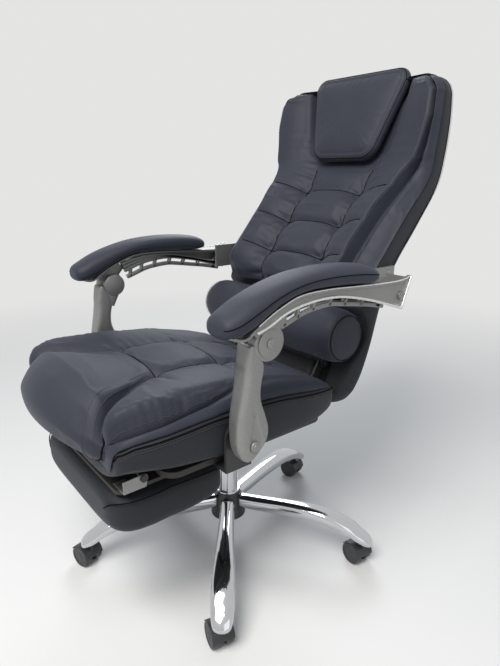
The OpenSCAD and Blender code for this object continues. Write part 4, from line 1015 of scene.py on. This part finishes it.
class CHAIR_OT_seat_cushion(bpy.types.Operator):
    """Builds the sewn seat cushion with its front roll, side pillows and tufted rows"""

    bl_idname = "chair.seat_cushion"
    bl_label = "Seat cushion"

    def execute(self, context):
        height = SEAT_SIZE[1]
        places = sorted(set(np.round(np.concatenate((
            np.linspace(0.45, 3.5, 48), np.linspace(3.5, 9, 70),
            [r + d for r in SEAT_ROWS for d in (-0.05, 0, 0.05)],
        )), 3)))
        pad = SewnPad(
            SEAT_LINE, SEAT_HALF, places, (SEAT_SEAM, SEAT_CREST, SEAT_TUCK, SEAT_EDGE), (16, 14, 14, 9),
        )

        def thickness(s, run, side, zone, v, x):
            middle, valley, pillow, groove, shoulder = (
                height * read(t, s)
                for t in (SEAT_MIDDLE, SEAT_VALLEY, SEAT_PILLOW, SEAT_GROOVE, SEAT_SHOULDER)
            )
            pillow *= 0.55 + 0.45 * soften((s - 2.1) / 0.7)
            valley = max(valley * (1 - 0.3 * soften((4.9 - s) / 1.2)), 0.006)
            # Tufted rows pull the cushion in, and each seam has gathers that fade away from it
            row = near(s, SEAT_ROWS, 0.11)
            broad = near(s, SEAT_ROWS, 0.5)
            front = soften((4.9 - s) / 0.8)
            if zone == 0:
                # Middle panel and its front roll
                low = soften((3.3 - s) / 1.3)
                crown = 1 - (0.1 + 0.28 * front + 0.36 * low) * v ** (2.2 - 0.2 * low)
                middle *= 0.25 + 0.75 * min(1.0, max(0.0, (s - 0.45) / 0.65)) ** 0.5
                drop = v ** (6 + 16 * front)
                t = middle * crown * (1 - drop) + valley * drop
                t -= (0.010 * row + 0.004 * broad) * (0.55 + 0.45 * v) * (1 - 0.2 * front)
                t -= 0.003 * folds(run, 0.09 * (1 - v), 0.022, 0.02, 3 + side) * soften((s - 4.6) / 0.5)
            elif zone == 1:
                # Side pillow, rising from the seam of the middle panel
                rise = 1 - (1 - v) ** 2.4
                t = valley + (pillow - valley) * rise
                t -= 0.014 * row * max(0.0, 1 - v * 1.1) ** 1.5
                t -= 0.006 * folds(run, 0.10 * v, 0.024, 0.034, 9 + side) * soften((s - 3) / 0.6)
                t -= 0.0055 * folds(run, 0.05 * v, 0.014, 0.03, 5 + side) * (1 - soften((s - 2.6) / 0.8))
            elif zone == 2:
                # Outer face of the pillow, with the gathers of its lower seam
                seam = math.exp(-((v - 0.8) / 0.045) ** 2)
                t = groove + (pillow - groove) * max(0.0, 1 - v ** 2.7) ** 0.62
                open_edge = soften((s - 2.4) / 0.5) * soften((6.6 - s) / 1.2)
                t -= 0.008 * folds(run, 0.06 * abs(0.82 - v), 0.017, 0.034, 15 + side) * open_edge
                t -= 0.0016 * seam * open_edge
            else:
                # Shoulder beside the pillow, down to the edge
                rise = soften(v / 0.32)
                t = groove + (shoulder - groove) * rise
                if v > 0.32:
                    t = shoulder * max(0.0, 1 - ((v - 0.32) / 0.68) ** 2.3) ** 0.7
            return max(t, 0.0012)

        def loose(s, column):
            grip = 1.0 if column in (pad.seam_index, pad.ends[2]) else 0.0
            tuft = near(s, SEAT_ROWS, 0.06)
            if column < pad.seam_index and tuft > 0.6:
                grip = max(grip, 0.85)
            if column > pad.ends[2]:
                grip = max(grip, 0.5)
            if s < 0.9:
                grip = max(grip, 1 - s)
            return grip

        form = pad.build(thickness)
        form = inflate(form, pad.held(loose), settings().leather.pressure, FABRIC_GROWTH, SEAT_MOVE)
        cushion("seat_cushion", form, "seat", "seat_topper")

        lines = pad.over(form[0], SEAT_ROWS, pad.seam_index)
        for side in (-1, 1):
            lines.append(pad.along(form[0], pad.between(0.7, 8.6), side * pad.seam_index))
            lines.append(pad.along(form[0], pad.between(2.3, 6.5), side * pad.ends[2]))
        # Near-black cords along the seams and tufted rows: painted seam shade
        cords("seat_seam_shade", [p + n * 0.0002 for p, n in lines], "seat", radius=0.0013)
        runs = []
        tongue, pillow = pad.between(0.4, 4.75), pad.between(2.5, 6.4)
        outer = [j for j, c in enumerate(pad.columns[pad.middle:]) if c[1] == 2 and 0.74 < c[2] < 0.93]
        for side in (-1, 1):
            for off in (2, 4):
                runs.append(pad.along(form[0], tongue, side * (pad.seam_index - off)))
            runs.append(pad.along(form[0], range(tongue[-1], len(places) - 3), side * (pad.seam_index + 1)))
            for j in (outer[0], outer[-1]):
                runs.append(pad.along(form[0], pillow, side * j))
        stitches("seat_stitches", runs, "seat")
        return {"FINISHED"}


class CHAIR_OT_seat_box(bpy.types.Operator):
    """Builds the padded seat box under the cushion, with its side seam"""

    bl_idname = "chair.seat_box"
    bl_label = "Seat box"

    def execute(self, context):
        low_table = np.array(SEAT_LOW)
        rings, seam = [], {-1: [], 1: []}
        count = 54
        for k in range(count):
            s = curve_at(low_table, (len(low_table) - 1) * k / (count - 1))
            y = SEAT_START[0] + s[0] * SEAT_SIZE[0]
            w = s[2] * SEAT_HALF
            top = float(np.interp(y, SEAT_LINE[1:, 0], SEAT_LINE[1:, 1])) + 0.0015
            if k == count - 1:
                top -= 0.008
            side = SEAT_START[1] + max(s[1], 0.01) * SEAT_SIZE[1]
            low = 0.4125 + 0.015 * (1 - soften(k / 3))
            swell = 0.0018 * wander(y * 11, 1.7)
            tall = top - side
            profile = [
                (0.0, top), (0.5, top), (0.9, top), (0.972, top), (0.994, top - 0.0015),
                (1.001, top - tall * 0.07), (1.007, side + tall * 0.62), (1.008, side + tall * 0.4),
                (1.0, side + tall * 0.16), (0.985, side + 0.001), (0.955, side - 0.002),
                (0.86, low + (side - low) * 0.35), (0.7, low), (0.3, low),
            ]
            right = [(w * a + (swell if 0.99 < a else 0), y, z) for a, z in profile]
            left = [(-x, yy, z) for x, yy, z in reversed(right[1:])]
            rings.append(right + left)
            for sgn in (-1, 1):
                seam[sgn].append((sgn * (w * 1.0015 + swell), y, top - tall * 0.07))
        cushion("seat_box", ring_mesh(rings), "seat", "seat_base", look="side leather", smooth=2)
        runs = []
        for sgn in (-1, 1):
            line = np.array(seam[sgn][3:-1])
            for drop in (0.004, 0.008):
                runs.append((line - np.array((-sgn * 0.0004, 0, drop)), np.array((sgn, 0.0, 0.0))))
        # Near-black cords along the side seams: painted seam shade
        cords("seat_box_seam_shade", [seam[sgn][2:-1] for sgn in (-1, 1)], "seat", radius=0.0014)
        stitches("seat_box_stitches", runs, "seat", lift=0.0008)
        return {"FINISHED"}


class CHAIR_OT_back_cushion(bpy.types.Operator):
    """Builds the tufted back cushion with its side wings"""

    bl_idname = "chair.back_cushion"
    bl_label = "Back cushion"

    def execute(self, context):
        places = sorted(set(np.round(np.concatenate((
            np.linspace(4.74, 9.2, 76), np.linspace(9.2, 13, 46), (13.15, 13.3, 13.42, 13.52, 13.6),
            [r + d for r in BACK_ROWS for d in (-0.05, 0, 0.05)],
        )), 3)))
        pad = SewnPad(BACK_LINE, BACK_HALF, places, (BACK_SEAM, BACK_CREST, BACK_EDGE), (20, 18, 22))

        row_runs = [float(np.interp(r, places, pad.length)) for r in BACK_ROWS]

        def seam_at(s):
            return BACK_HALF * read(BACK_SEAM, s)

        def thickness(s, run, side, zone, v, x):
            middle, valley, wing, rim = (
                WING * read(t, s) for t in (BACK_MIDDLE, BACK_VALLEY, BACK_WING, BACK_RIM)
            )
            tufted = 1 - soften((s - 8.9) / 0.5)
            low = soften((s - 4.9) / 0.6)
            valley -= 0.005 * tufted * low
            row = near(s, BACK_ROWS, 0.085)
            broad = near(s, BACK_ROWS, 0.4)
            rise = run - min(row_runs, key=lambda r: abs(run - r))
            aside = x - seam_at(s)
            reach = math.hypot(rise, aside)
            tuft = math.exp(-(reach / 0.013) ** 1.5)
            pucker = math.exp(-(reach / 0.034) ** 2) * soften(reach / 0.008)
            turn = 8 * math.atan2(rise, aside) + 2 * side + 3 * wander(s, side)
            pucker *= 0.5 + 0.5 * math.cos(turn)
            if zone == 0:
                # Tufted middle panel
                t = middle + (valley - middle) * v ** 3.0
                t -= (0.008 * row + 0.0065 * broad) * tufted
                t -= 0.0042 * folds(run, 0.09 * (1 - v), 0.023, 0.022, 2 + side) * tufted
            elif zone == 1:
                # Wing, with pleats towards the headrest
                t = valley + (wing - valley) * (1 - (1 - v) ** 2.3)
                t -= (0.008 * row + 0.005 * broad) * (1 - 0.75 * v ** 2) * tufted
                pleat = 0.0052 + 0.0038 * soften((s - 8.5) / 0.5)
                t -= pleat * folds(run, 0.09 * v, 0.025, 0.034, 7 + side) * soften((11.2 - s) / 1.2)
            else:
                # Steep side of the wing, then the padded lobe at its foot
                groove, turn = min(rim, 0.002), 0.17
                if v < turn:
                    t = wing + (groove - wing) * (0.35 * soften(v / turn) + 0.65 * (v / turn) ** 2.2)
                else:
                    u = (v - turn) / (1 - turn)
                    lobe = 0.023 * soften((s - 5) / 1.2) * soften((13.5 - s) / 0.8)
                    t = groove * (1 - u) + lobe * math.sin(math.pi * u ** 0.74) ** 0.8
                    t -= 0.0022 * folds(run, 0.05 * u, 0.031, 0.03, 21 + side) * soften((12.4 - s) / 1.2)
            return max(t - (0.008 * tuft + 0.0045 * pucker) * tufted, 0.0012)

        def hollow(s, x):
            depth = HEAD_T * read(BACK_RECESS, s)
            if depth <= 0:
                return 0.0
            seam, crest = (BACK_HALF * read(t, s) for t in (BACK_SEAM, BACK_CREST))
            share = 1 - 0.7 * soften((x - seam + 0.005) / 0.02) if x < seam + 0.015 else 0.3
            if seam + 0.015 <= x < crest:
                share = 0.3 - 0.15 * (x - seam - 0.015) / (crest - seam - 0.015)
            if x > crest:
                rim = BACK_HALF * read(BACK_EDGE, s)
                share = 0.15 * (1 - (x - crest) / (rim - crest))
            return depth * share

        def loose(s, column):
            grip = 1.0 if column == pad.seam_index else 0.0
            if near(s, BACK_ROWS, 0.06) > 0.6 and column < pad.crest_index - 2:
                grip = max(grip, 0.85)
            if column in (pad.crest_index + 4, pad.crest_index + 5):
                grip = max(grip, 0.8)
            return grip

        form = pad.build(thickness, hollow)
        form = inflate(form, pad.held(loose), settings().leather.pressure, FABRIC_GROWTH, BACK_MOVE)
        cushion("back_cushion", form, "back", "back_topper")
        lines = pad.over(form[0], BACK_ROWS, pad.crest_index - 2)
        sewn, edge_run = pad.between(0, 9.25)[3:], pad.between(5.2, 12.8)
        lines += [pad.along(form[0], sewn, side * pad.seam_index) for side in (-1, 1)]
        # Near-black cords along the tufted rows and seams: painted seam shade
        cords("back_seam_shade", [p + n * 0.0002 for p, n in lines], "back", radius=0.0013)
        runs = [pad.along(form[0], edge_run, side * (pad.crest_index + 1)) for side in (-1, 1)]
        runs += [pad.along(form[0], sewn, side * (pad.seam_index + 1)) for side in (-1, 1)]
        stitches("back_stitches", runs, "back")
        return {"FINISHED"}


class CHAIR_OT_back_box(bpy.types.Operator):
    """Builds the padded back box behind the tufted cushion, with its side and rear seams"""

    bl_idname = "chair.back_box"
    bl_label = "Back box"

    def execute(self, context):
        rings, seams, rear_seams = [], {-1: [], 1: []}, {-1: [], 1: []}
        places = np.concatenate((np.linspace(0, 4, 22), np.linspace(4.2, 13, 52), (13.4, 13.7, 13.9, 14)))
        for s in places:
            depth = BACK_SIZE[0] * float(curve_at([[d] for d in BACK_DEPTH], s)[0])
            edge = BACK_HALF * read(BACK_EDGE, s)
            p, n, rear_n = curve_at(BACK_LINE, s), outward(BACK_LINE, s), outward(BACK_LINE, s, 2)
            recess = HEAD_T * read(BACK_RECESS, s)
            gap = max(0.0, math.hypot(p[0] - LUMBAR.y, p[1] - LUMBAR.z) - LUMBAR_R - 0.001)
            nest = min(0.024, gap * 0.9) * soften((s - 0.2) / 0.8) * soften((5 - s) / 0.4)
            seam, crest = (read(t, max(s, 4.7)) for t in (BACK_SEAM, BACK_CREST))
            ring = []
            for u in FRONT_SHARES:
                a = abs(u) * edge / BACK_HALF
                slot = soften((PLATE_SLOT - abs(abs(u * edge) - PLATE_X)) / SLOT_EDGE)
                slot *= soften((4.2 - s) / 0.5)
                rise = soften((a - seam) / (crest - seam))
                hollow = recess * (1.0 if a <= seam else max(0.0, 1 - 0.85 * rise))
                if abs(u) == 1:
                    hollow = 0
                q = p - n * (0.0012 + hollow - nest * (1 - slot) + SLOT_DEPTH * depth * slot)
                ring.append((u * edge * 0.985, q[0], q[1]))
            rear = []
            for k in range(33):
                a = math.pi * k / 32
                u, out = math.cos(a), math.sin(a)
                x = edge * rounded(u, 0.5)
                q = p - rear_n * (0.004 + depth * (REAR_FULL * out ** 0.5 - 0.05 * u * u))
                rear.append((x, q[0], q[1]))
            ring += rear
            rings.append(ring)
            if 0.6 < s < 13.2:
                q = p - rear_n * (0.0036 + depth * REAR_DEPTH)
                for sgn in (-1, 1):
                    rear_seams[sgn].append((sgn * edge * REAR_SEAM, q[0], q[1]))
            if 5 < s < 13.6:
                q = p - rear_n * depth * SIDE_SEAM
                x = edge * (1 - (SIDE_SEAM / REAR_FULL) ** 4) ** 0.25
                for sgn in (-1, 1):
                    seams[sgn].append((sgn * (x + 0.0004), q[0], q[1]))
        cushion("back_box_cover", ring_mesh(rings), "back", "back_box", look="side leather")
        # Near-black cords along the side and rear seams: painted seam shade
        cords("back_box_seam_shade", list(seams.values()) + list(rear_seams.values()), "back", radius=0.0012)
        runs = []
        for sgn in (-1, 1):
            line = np.array(seams[sgn])
            for move in (-0.004, 0.004):
                runs.append((line + (sgn * 0.0004, move, 0), np.array((sgn, 0.0, 0.0))))
        stitches("back_box_stitches", runs, "back", lift=0.0006)
        return {"FINISHED"}


class CHAIR_OT_headrest(bpy.types.Operator):
    """Builds the headrest pillow with its sewn border"""

    bl_idname = "chair.headrest"
    bl_label = "Headrest"

    def execute(self, context):
        start = Vector((0, *HEAD_START))
        up = Vector((0, *HEAD_SIZE)).normalized()
        out = Vector((0, -up.z, up.y))
        tall = Vector(HEAD_SIZE).length
        corners = ((0.104, 0.044), (0.143, 0.03))
        outline = []
        for k, (x, r) in enumerate(corners):
            lean = math.atan2(corners[1][0] - corners[0][0], tall)
            turn = np.linspace(-math.pi / 2, -lean, 12) if k == 0 else np.linspace(-lean, math.pi / 2, 12)
            centre = (x - r, r if k == 0 else tall - r)
            outline += [(centre[0] + r * math.cos(t), centre[1] + r * math.sin(t)) for t in turn]
            if k == 0:
                far, top = corners[1]
                a, b = outline[-1], (far - top + top * math.cos(lean), tall - top - top * math.sin(lean))
                outline += [
                    (a[0] + (b[0] - a[0]) * t, a[1] + (b[1] - a[1]) * t) for t in np.linspace(0.08, 0.92, 16)
                ]
        left = [(-x, w) for x, w in reversed(outline)]
        loop = even([(x, w, 0) for x, w in outline + left], 0.0055, True)[:, :2]
        ahead = np.roll(loop, -1, 0) - np.roll(loop, 1, 0)
        ahead /= np.linalg.norm(ahead, axis=1)[:, None]
        side = np.stack((ahead[:, 1], -ahead[:, 0]), 1)
        middle = np.array((0.0, tall * 0.53))

        def ring_at(inset, height, shrink=1.0, waves=0.0):
            ring = []
            for k, (q, n) in enumerate(zip(loop, side)):
                flat = middle + (q - n * inset - middle) * shrink
                lift = height + waves * shrink ** 2 * wander(k * 0.55, inset * 90)
                at = start + up * float(flat[1]) + out * lift
                ring.append((float(flat[0]), at.y, at.z))
            return ring

        border = (
            (0.012, -0.002, 0), (0.003, 0.001, 0), (0.0, 0.006, 0), (-0.0015, 0.012, 0.0012),
            (0.0, 0.018, 0.0008), (0.0022, 0.0215, 0), (0.0038, 0.0212, 0), (0.006, 0.0245, 0),
            (0.0095, 0.0268, 0.0012), (0.0125, 0.0272, 0), (0.0145, 0.0268, 0), (0.018, 0.0292, 0),
            (0.024, 0.0312, 0.0014),
        )
        crown = ((0.93, 0.0328), (0.8, 0.0348), (0.62, 0.0362), (0.42, 0.037), (0.22, 0.0374), (0.06, 0.0376))
        rings = [ring_at(inset, height, waves=waves) for inset, height, waves in border]
        rings += [ring_at(border[-1][0], height, shrink, 0.0010) for shrink, height in crown]
        verts, faces = ring_mesh(rings)
        form = (verts, [tuple(reversed(f)) for f in faces])
        cushion("headrest_pillow", form, "back", "headrest")
        # Near-black cord round the border seam: painted seam shade
        cords("headrest_seam_shade", [ring_at(0.0030, 0.0216)], "back", radius=0.0009, closed=True)
        sewn = ((0.0135, 0.0271), (0.0055, 0.0242))
        runs = [(ring_at(inset, height), np.array(out)) for inset, height in sewn]
        stitches("headrest_stitches", runs, "back")
        return {"FINISHED"}


class CHAIR_OT_lumbar(bpy.types.Operator):
    """Builds the lumbar bolster with its sewn end caps"""

    bl_idname = "chair.lumbar"
    bl_label = "Lumbar bolster"

    def execute(self, context):
        rings = []
        half = LUMBAR_HALF
        stops = [(-half, 0.012)]
        stops += [(-half + 0.0012 * k, r) for k, r in ((1, 0.03), (2, 0.042), (4, 0.0495), (5, 0.0492))]
        stops += [
            (-half + x, r) for x, r in ((0.009, 0.0528), (0.016, 0.0568), (0.028, 0.0595), (0.05, LUMBAR_R))
        ]
        stops += [(x, LUMBAR_R + 0.0012 * wander(x * 16)) for x in np.linspace(-half + 0.08, 0, 9)]
        stops += [(-x, r) for x, r in reversed(stops[:-1])]
        for x, r in stops:
            ring = []
            for j in range(72):
                a = math.tau * j / 72
                away = abs(abs(x) - half + 0.006)
                gather = 0.0012 * folds(a * LUMBAR_R, away, 0.011, 0.02, 3 if x > 0 else 5)
                wide = r - gather
                ring.append((x, LUMBAR.y + wide * math.cos(a) * 0.985, LUMBAR.z + wide * math.sin(a)))
            rings.append(ring)
        cushion("lumbar_pillow", ring_mesh(rings), "back", "lumbar_bolster")
        runs, welts = [], []
        turns = np.linspace(0, math.tau, 97)
        for side in (-1, 1):
            for r, x in ((0.0535, half - 0.0078), (0.0455, half - 0.0036)):
                runs.append((circle(side * x, LUMBAR.y, LUMBAR.z, r, turns), np.array((side, 0.0, 0.0))))
            welts.append(circle(side * (half - 0.0055), LUMBAR.y, LUMBAR.z, 0.0495, turns[:-1]))
        stitches("lumbar_stitches", runs, "back", lift=0.0006)
        # Near-black welts round the end caps: piping in painted seam shade
        cords("lumbar_seam_shade", welts, "back", radius=0.0007, closed=True)
        return {"FINISHED"}


class CHAIR_OT_arm_pads(bpy.types.Operator):
    """Builds the padded arm cushions with their side seam"""

    bl_idname = "chair.arm_pads"
    bl_label = "Arm pads"

    def execute(self, context):
        table = np.array(ARM_PAD)
        for side, name in SIDES:
            rings, welt = [], []
            for s in np.linspace(0, len(table) - 1, 60):
                row = curve_at(table, s)
                y = ARM_START[0] + row[0] * ARM_SIZE[0]
                z = ARM_START[1] + row[1] * ARM_SIZE[1] + 0.0003
                w, h = ARM_PAD_HALF * row[3], ARM_SIZE[1] * row[2]
                ring = []
                for k in range(40):
                    a = math.tau * k / 40
                    x = w * rounded(math.cos(a), 0.8)
                    zz = h * rounded(math.sin(a), 0.85 if math.sin(a) > 0 else 0.6)
                    ring.append((side * (ARM_X + x), y, z + zz))
                rings.append(ring if side == 1 else ring[::-1])
                welt.append((side * (ARM_X + w * 0.998), y, z + h * 0.14))
            cushion(f"arm_cushion_{name}", ring_mesh(rings), f"arm_{name}", f"arm_pad_{name}")
            # Near-black piping along the pad's side: painted seam shade
            cords(f"arm_piping_shade_{name}", [welt[2:-2]], f"arm_{name}", radius=0.0008)
        return {"FINISHED"}


class CHAIR_OT_footrest(bpy.types.Operator):
    """Builds the footrest cushion that folds under the seat"""

    bl_idname = "chair.footrest"
    bl_label = "Footrest"

    def execute(self, context):
        rows = np.array(FOOT)
        rings, seams = [], {-1: [], 1: []}
        for s in np.linspace(0, len(rows) - 1, 44):
            row = curve_at(rows, s)
            y = FOOT_Y + row[0] * FOOT_L
            low, high = FOOT_TOP - FOOT_T * (1 - row[1]), FOOT_TOP - FOOT_T * (1 - row[2])
            w = FOOT_HALF * row[3]
            profile = section(w, (high - low) / 2, 56, 0.4, 0.5, 0.5)
            rings.append([(x, y, (low + high) / 2 + up) for x, up in profile])
            for side in (-1, 1):
                seams[side].append((side * (w + 0.0003), y, high - 0.014))
        cushion(
            "footrest_cushion", ring_mesh(rings), "footrest", "footrest_pad", look="side leather",
        )
        # Near-black cords along the side seams: painted seam shade
        cords("footrest_seam_shade", list(seams.values()), "footrest", radius=0.0011)
        return {"FINISHED"}


class CHAIR_OT_legs(bpy.types.Operator):
    """Builds the five chromed legs"""

    bl_idname = "chair.legs"
    bl_label = "Legs"

    def execute(self, context):
        table = np.array(LEGS)
        for k in range(5):
            turn = math.radians(180 + LEG_TURN + 72 * k)
            c, s = math.cos(turn), math.sin(turn)
            rings = []
            for place in np.linspace(0, len(table) - 1, 46):
                row = curve_at(table, place)
                y, z = row[0] * LEG_R, row[1] * LEG_Z
                w, h = max(row[2], 0.1) * LEG_W / 2, max(row[3], 0.1) * LEG_H / 2
                profile = section(w, h, 32, 0.77, 0.77)
                rings.append([(x * c - y * s, x * s + y * c, z + up) for x, up in profile])
            node = f"base_leg_{k + 1}"
            piece(f"leg_{k + 1}", ring_mesh(rings), "base", "chrome", (node,), smooth=1)
        return {"FINISHED"}


class CHAIR_OT_arm_posts(bpy.types.Operator):
    """Builds the arm posts with their front ridge and teardrop recess"""

    bl_idname = "chair.arm_posts"
    bl_label = "Arm posts"

    def execute(self, context):
        tear = POST_START + POST_SIZE * np.array(POST_TEAR)
        table = np.array(POST)
        rings = []
        for place in np.linspace(0, len(table) - 1, 110):
            row = curve_at(table, place)
            z = POST_START[1] + row[0] * POST_SIZE[1]
            front, rear = (POST_START[0] + POST_SIZE[0] * row[k] for k in (1, 2))
            w, mid, half = (ARM_OUT - ARM_IN) / 2 * row[3], (front + rear) / 2, (rear - front) / 2
            ring = []
            for x, y in section(w, -half, 88, 0.5, 0.62, 0.5):
                if x > w * 0.8:
                    x -= 0.0026 * recess(tear, mid + y, z)
                ring.append((ARM_X + x, mid + y, z))
            rings.append(ring)
        post = joined([
            ring_mesh(rings),
            drum(0.0268, ARM_IN, 0.2975, *ELBOW, 0.0015),
            bar(beside_elbow((-0.022, -0.045), (-0.010, -0.022), (0, 0)), 0.0205, 0.28725, 0.04),
        ])
        cap = joined([
            drum(0.0098, 0.312, 0.3195, *PIVOT, 0.0012, 40), drum(0.0052, 0.3192, 0.3206, *PIVOT, 0.0006, 24),
        ])
        for side, name in SIDES:
            casting(f"post_cap_{name}", cap, side, f"post_{name}")
            casting(f"arm_post_{name}_casting", post, side, f"post_{name}", (f"arm_post_{name}",), crisp=50)
        return {"FINISHED"}


def recess(outline, y, z):
    """How far a point lies inside a closed outline, from 0 outside to 1 at the floor of the recess."""
    inside, best = False, 1.0
    for (ya, za), (yb, zb) in zip(outline, np.roll(outline, -1, 0)):
        if (za > z) != (zb > z) and y < (yb - ya) * (z - za) / (zb - za) + ya:
            inside = not inside
        dy, dz = yb - ya, zb - za
        t = min(1.0, max(0.0, ((y - ya) * dy + (z - za) * dz) / (dy * dy + dz * dz)))
        best = min(best, math.hypot(y - ya - t * dy, z - za - t * dz))
    return soften(best / 0.0035) if inside else 0.0


class CHAIR_OT_arm_frames(bpy.types.Operator):
    """Builds the arm castings: rail, flared skirt with raised rims, ladder web and elbow drum"""

    bl_idname = "chair.arm_frames"
    bl_label = "Arm frames"

    def execute(self, context):
        out = ARM_OUT + SKIRT_OUT
        top, low = side_points(SKIRT_TOP, 90), side_points(SKIRT_LOW, 90)
        rings = []
        for k in range(90):
            a, b = top[k], low[k]
            height = float(np.linalg.norm(b - a))
            end = min((89 - k) * 0.0045, 1.0)
            ring = []
            for j in range(25):
                v = j / 24
                rim = max(
                    math.exp(-(v * height / 0.0045) ** 2), math.exp(-((1 - v) * height / 0.0042) ** 2),
                    math.exp(-(end / 0.006) ** 2),
                )
                x = out - SKIRT_HOLLOW * (1 - rim) * soften(height / 0.018)
                edge = min(v, 1 - v) * height
                x -= 0.0016 * max(0.0, 1 - edge / 0.0016) ** 2
                q = a + (b - a) * v
                ring.append((x, q[0], q[1]))
            for v in (1, 0.75, 0.5, 0.25, 0):
                q = a + (b - a) * v
                ring.append((ARM_OUT + 0.0004, q[0], q[1]))
            rings.append(ring)
        skirt = ring_mesh(rings)
        rail_in, rail_out = ARM_IN + 0.0005, ARM_OUT + 0.0085
        rail_line = side_points(ARM_TOP, 80) - (0, 0.0036)
        rail = bar(rail_line, rail_out - rail_in, (rail_out + rail_in) / 2, 0.0066)
        web_x = ARM_X - 0.004
        slot_low, slot_top, web_low = (side_points(t, 70) for t in (WEB_SLOT_LOW, WEB_SLOT_TOP, WEB_LOW))
        under = side_points(SKIRT_LOW[2:], 70)
        parts = [skirt, rail]
        lower = (slot_low + web_low) / 2
        parts.append(bar(lower, WEB_T, web_x, float(np.mean(np.linalg.norm(slot_low - web_low, axis=1)))))
        for share in (0.15, 0.5, 0.85):
            parts.append(bar(slot_top * (1 - share) + (under + (0, 0.004)) * share, WEB_T, web_x, 0.009))
        for k in range(7):
            i = int(4 + k * 61 / 6)
            a, b = web_low[i], slot_top[min(i + 2, 69)] + (0.001, 0.002)
            rung = [a * (1 - t) + b * t for t in np.linspace(0.1, 1, 5)]
            parts.append(bar(rung, WEB_T, web_x, 0.0075 if k < 6 else 0.02))
        parts.append(drum(0.032, 0.298, ARM_OUT, *ELBOW, 0.0018, 80))
        parts.append(drum(0.017, ARM_IN + 0.0006, out - 0.0046, *REAR, 0.001, 48))
        block = beside_elbow((-0.004, 0.012), (0.006, 0.034), (0.022, 0.052))
        neck = beside_elbow((-0.03, 0.016), (-0.012, 0.034), (0.016, 0.056))
        parts += [bar(block, 0.0225, 0.309, 0.046), bar(neck, 0.022, 0.3085, 0.014)]
        frame_form = joined(parts)
        edge = [(out - 0.0004, *q) for q in (*low[4:], low[-1] * 0.5 + top[-1] * 0.5, top[-1])]
        crown = [(out - 0.0006, *q) for q in top[6:]]
        # Tubes along the skirt's lower edge and crown, in the lighter lacquer, carry a painted highlight line
        rim_highlights = joined([tube_mesh(even(edge, 0.003), 0.0027, 10), tube_mesh(even(crown, 0.003), 0.0015, 10)])
        cap = joined([
            drum(0.0256, ARM_OUT + 0.0001, 0.321, *ELBOW, 0.0012),
            drum(0.009, 0.3205, 0.3238, *ELBOW, 0.0009, 40),
        ])
        for side, name in SIDES:
            casting(f"arm_rim_highlight_{name}", rim_highlights, side, f"arm_{name}", look="silver highlight", crisp=0)
            casting(f"arm_casting_{name}", frame_form, side, f"arm_{name}", (f"arm_frame_{name}",))
            casting(f"elbow_cap_{name}", cap, side, f"arm_{name}", (f"elbow_pin_{name}",))
        return {"FINISHED"}


class CHAIR_OT_rigid(bpy.types.Operator):
    """Gives the rigid CAD pieces their finishes and softened edges"""

    bl_idname = "chair.rigid"
    bl_label = "Rigid pieces"

    def execute(self, context):
        edge = settings().metal.edge
        looks = {
            "base_hub": "hub", "lift_outer_tube": "chrome", "lift_guide_bush": "plastic",
            "lift_thrust_bearing": "steel", "lift_rod": "steel", "lift_cylinder": "black steel",
            "mechanism_housing": "black steel", "seat_pan": "plywood", "hinge_plates": "black steel",
            "hinge_shaft": "black steel", "arm_brackets": "black steel", "footrest_rails": "black steel",
            "seat_bolts": "steel", "height_lever": "plastic", "recline_lock_lever": "plastic",
            "back_frame": "black steel", "arm_ears": "silver", "footrest_slider": "black steel",
            "footrest_board": "plywood", "footrest_brackets": "silver",
        }
        for name, node in NODES.items():
            if "housing" in name and name.startswith("caster"):
                look = "plastic"
            elif "wheel" in name:
                look = "wheel"
            elif "pins" in name or "elbow_pin" in name:
                look = "silver" if "elbow" in name else "steel"
            elif name.startswith(("arm_post", "arm_frame")):
                look = "silver"
            else:
                look = looks.get(name)
            if look is None:
                continue
            node.data.materials.clear()
            node.data.materials.append(finish(look))
            weld = node.modifiers.new("Weld", "WELD")
            weld.merge_threshold = 0.00002
            flat = node.modifiers.new("Flat faces", "DECIMATE")
            flat.decimate_type, flat.angle_limit = "DISSOLVE", math.radians(1.5)
            bevel = node.modifiers.new("Soft edges", "BEVEL")
            bevel.width, bevel.segments, bevel.limit_method = edge, 2, "ANGLE"
            bevel.angle_limit, bevel.harden_normals = math.radians(40), False
            bevel.use_clamp_overlap = True
            node.data.shade_smooth()
            smooth = node.modifiers.new("Normals", "WEIGHTED_NORMAL")
            smooth.keep_sharp = True
        return {"FINISHED"}


class CHAIR_PT_panel(bpy.types.Panel):
    """Lists the chair's settings and the steps that build it"""

    bl_label = "Office chair"
    bl_idname = "CHAIR_PT_panel"
    bl_space_type = "VIEW_3D"
    bl_region_type = "UI"
    bl_category = "Chair"

    def draw(self, context):
        for group in (settings().leather, settings().metal, settings().stage):
            box = self.layout.box()
            for key in group.__annotations__:
                box.prop(group, key)
        for operator in OPERATORS:
            self.layout.operator(operator.bl_idname)


OPERATORS = (
    CHAIR_OT_stage, CHAIR_OT_rigid, CHAIR_OT_legs, CHAIR_OT_arm_posts, CHAIR_OT_arm_frames,
    CHAIR_OT_seat_box, CHAIR_OT_seat_cushion, CHAIR_OT_back_box, CHAIR_OT_back_cushion, CHAIR_OT_headrest,
    CHAIR_OT_lumbar, CHAIR_OT_arm_pads, CHAIR_OT_footrest,
)
CLASSES = (ChairLeather, ChairMetal, ChairStage, ChairSettings, *OPERATORS, CHAIR_PT_panel)


def register():
    """Registers the classes and the chair's settings."""
    for made in CLASSES:
        bpy.utils.register_class(made)
    bpy.types.Scene.chair = PointerProperty(type=ChairSettings)


def unregister():
    """Takes the classes and the settings out again."""
    del bpy.types.Scene.chair
    for made in reversed(CLASSES):
        bpy.utils.unregister_class(made)


def main():
    """Builds the chair."""
    register()
    for operator in OPERATORS:
        group, name = operator.bl_idname.split(".")
        getattr(getattr(bpy.ops, group), name)()


if __name__ == "__main__":
    main()
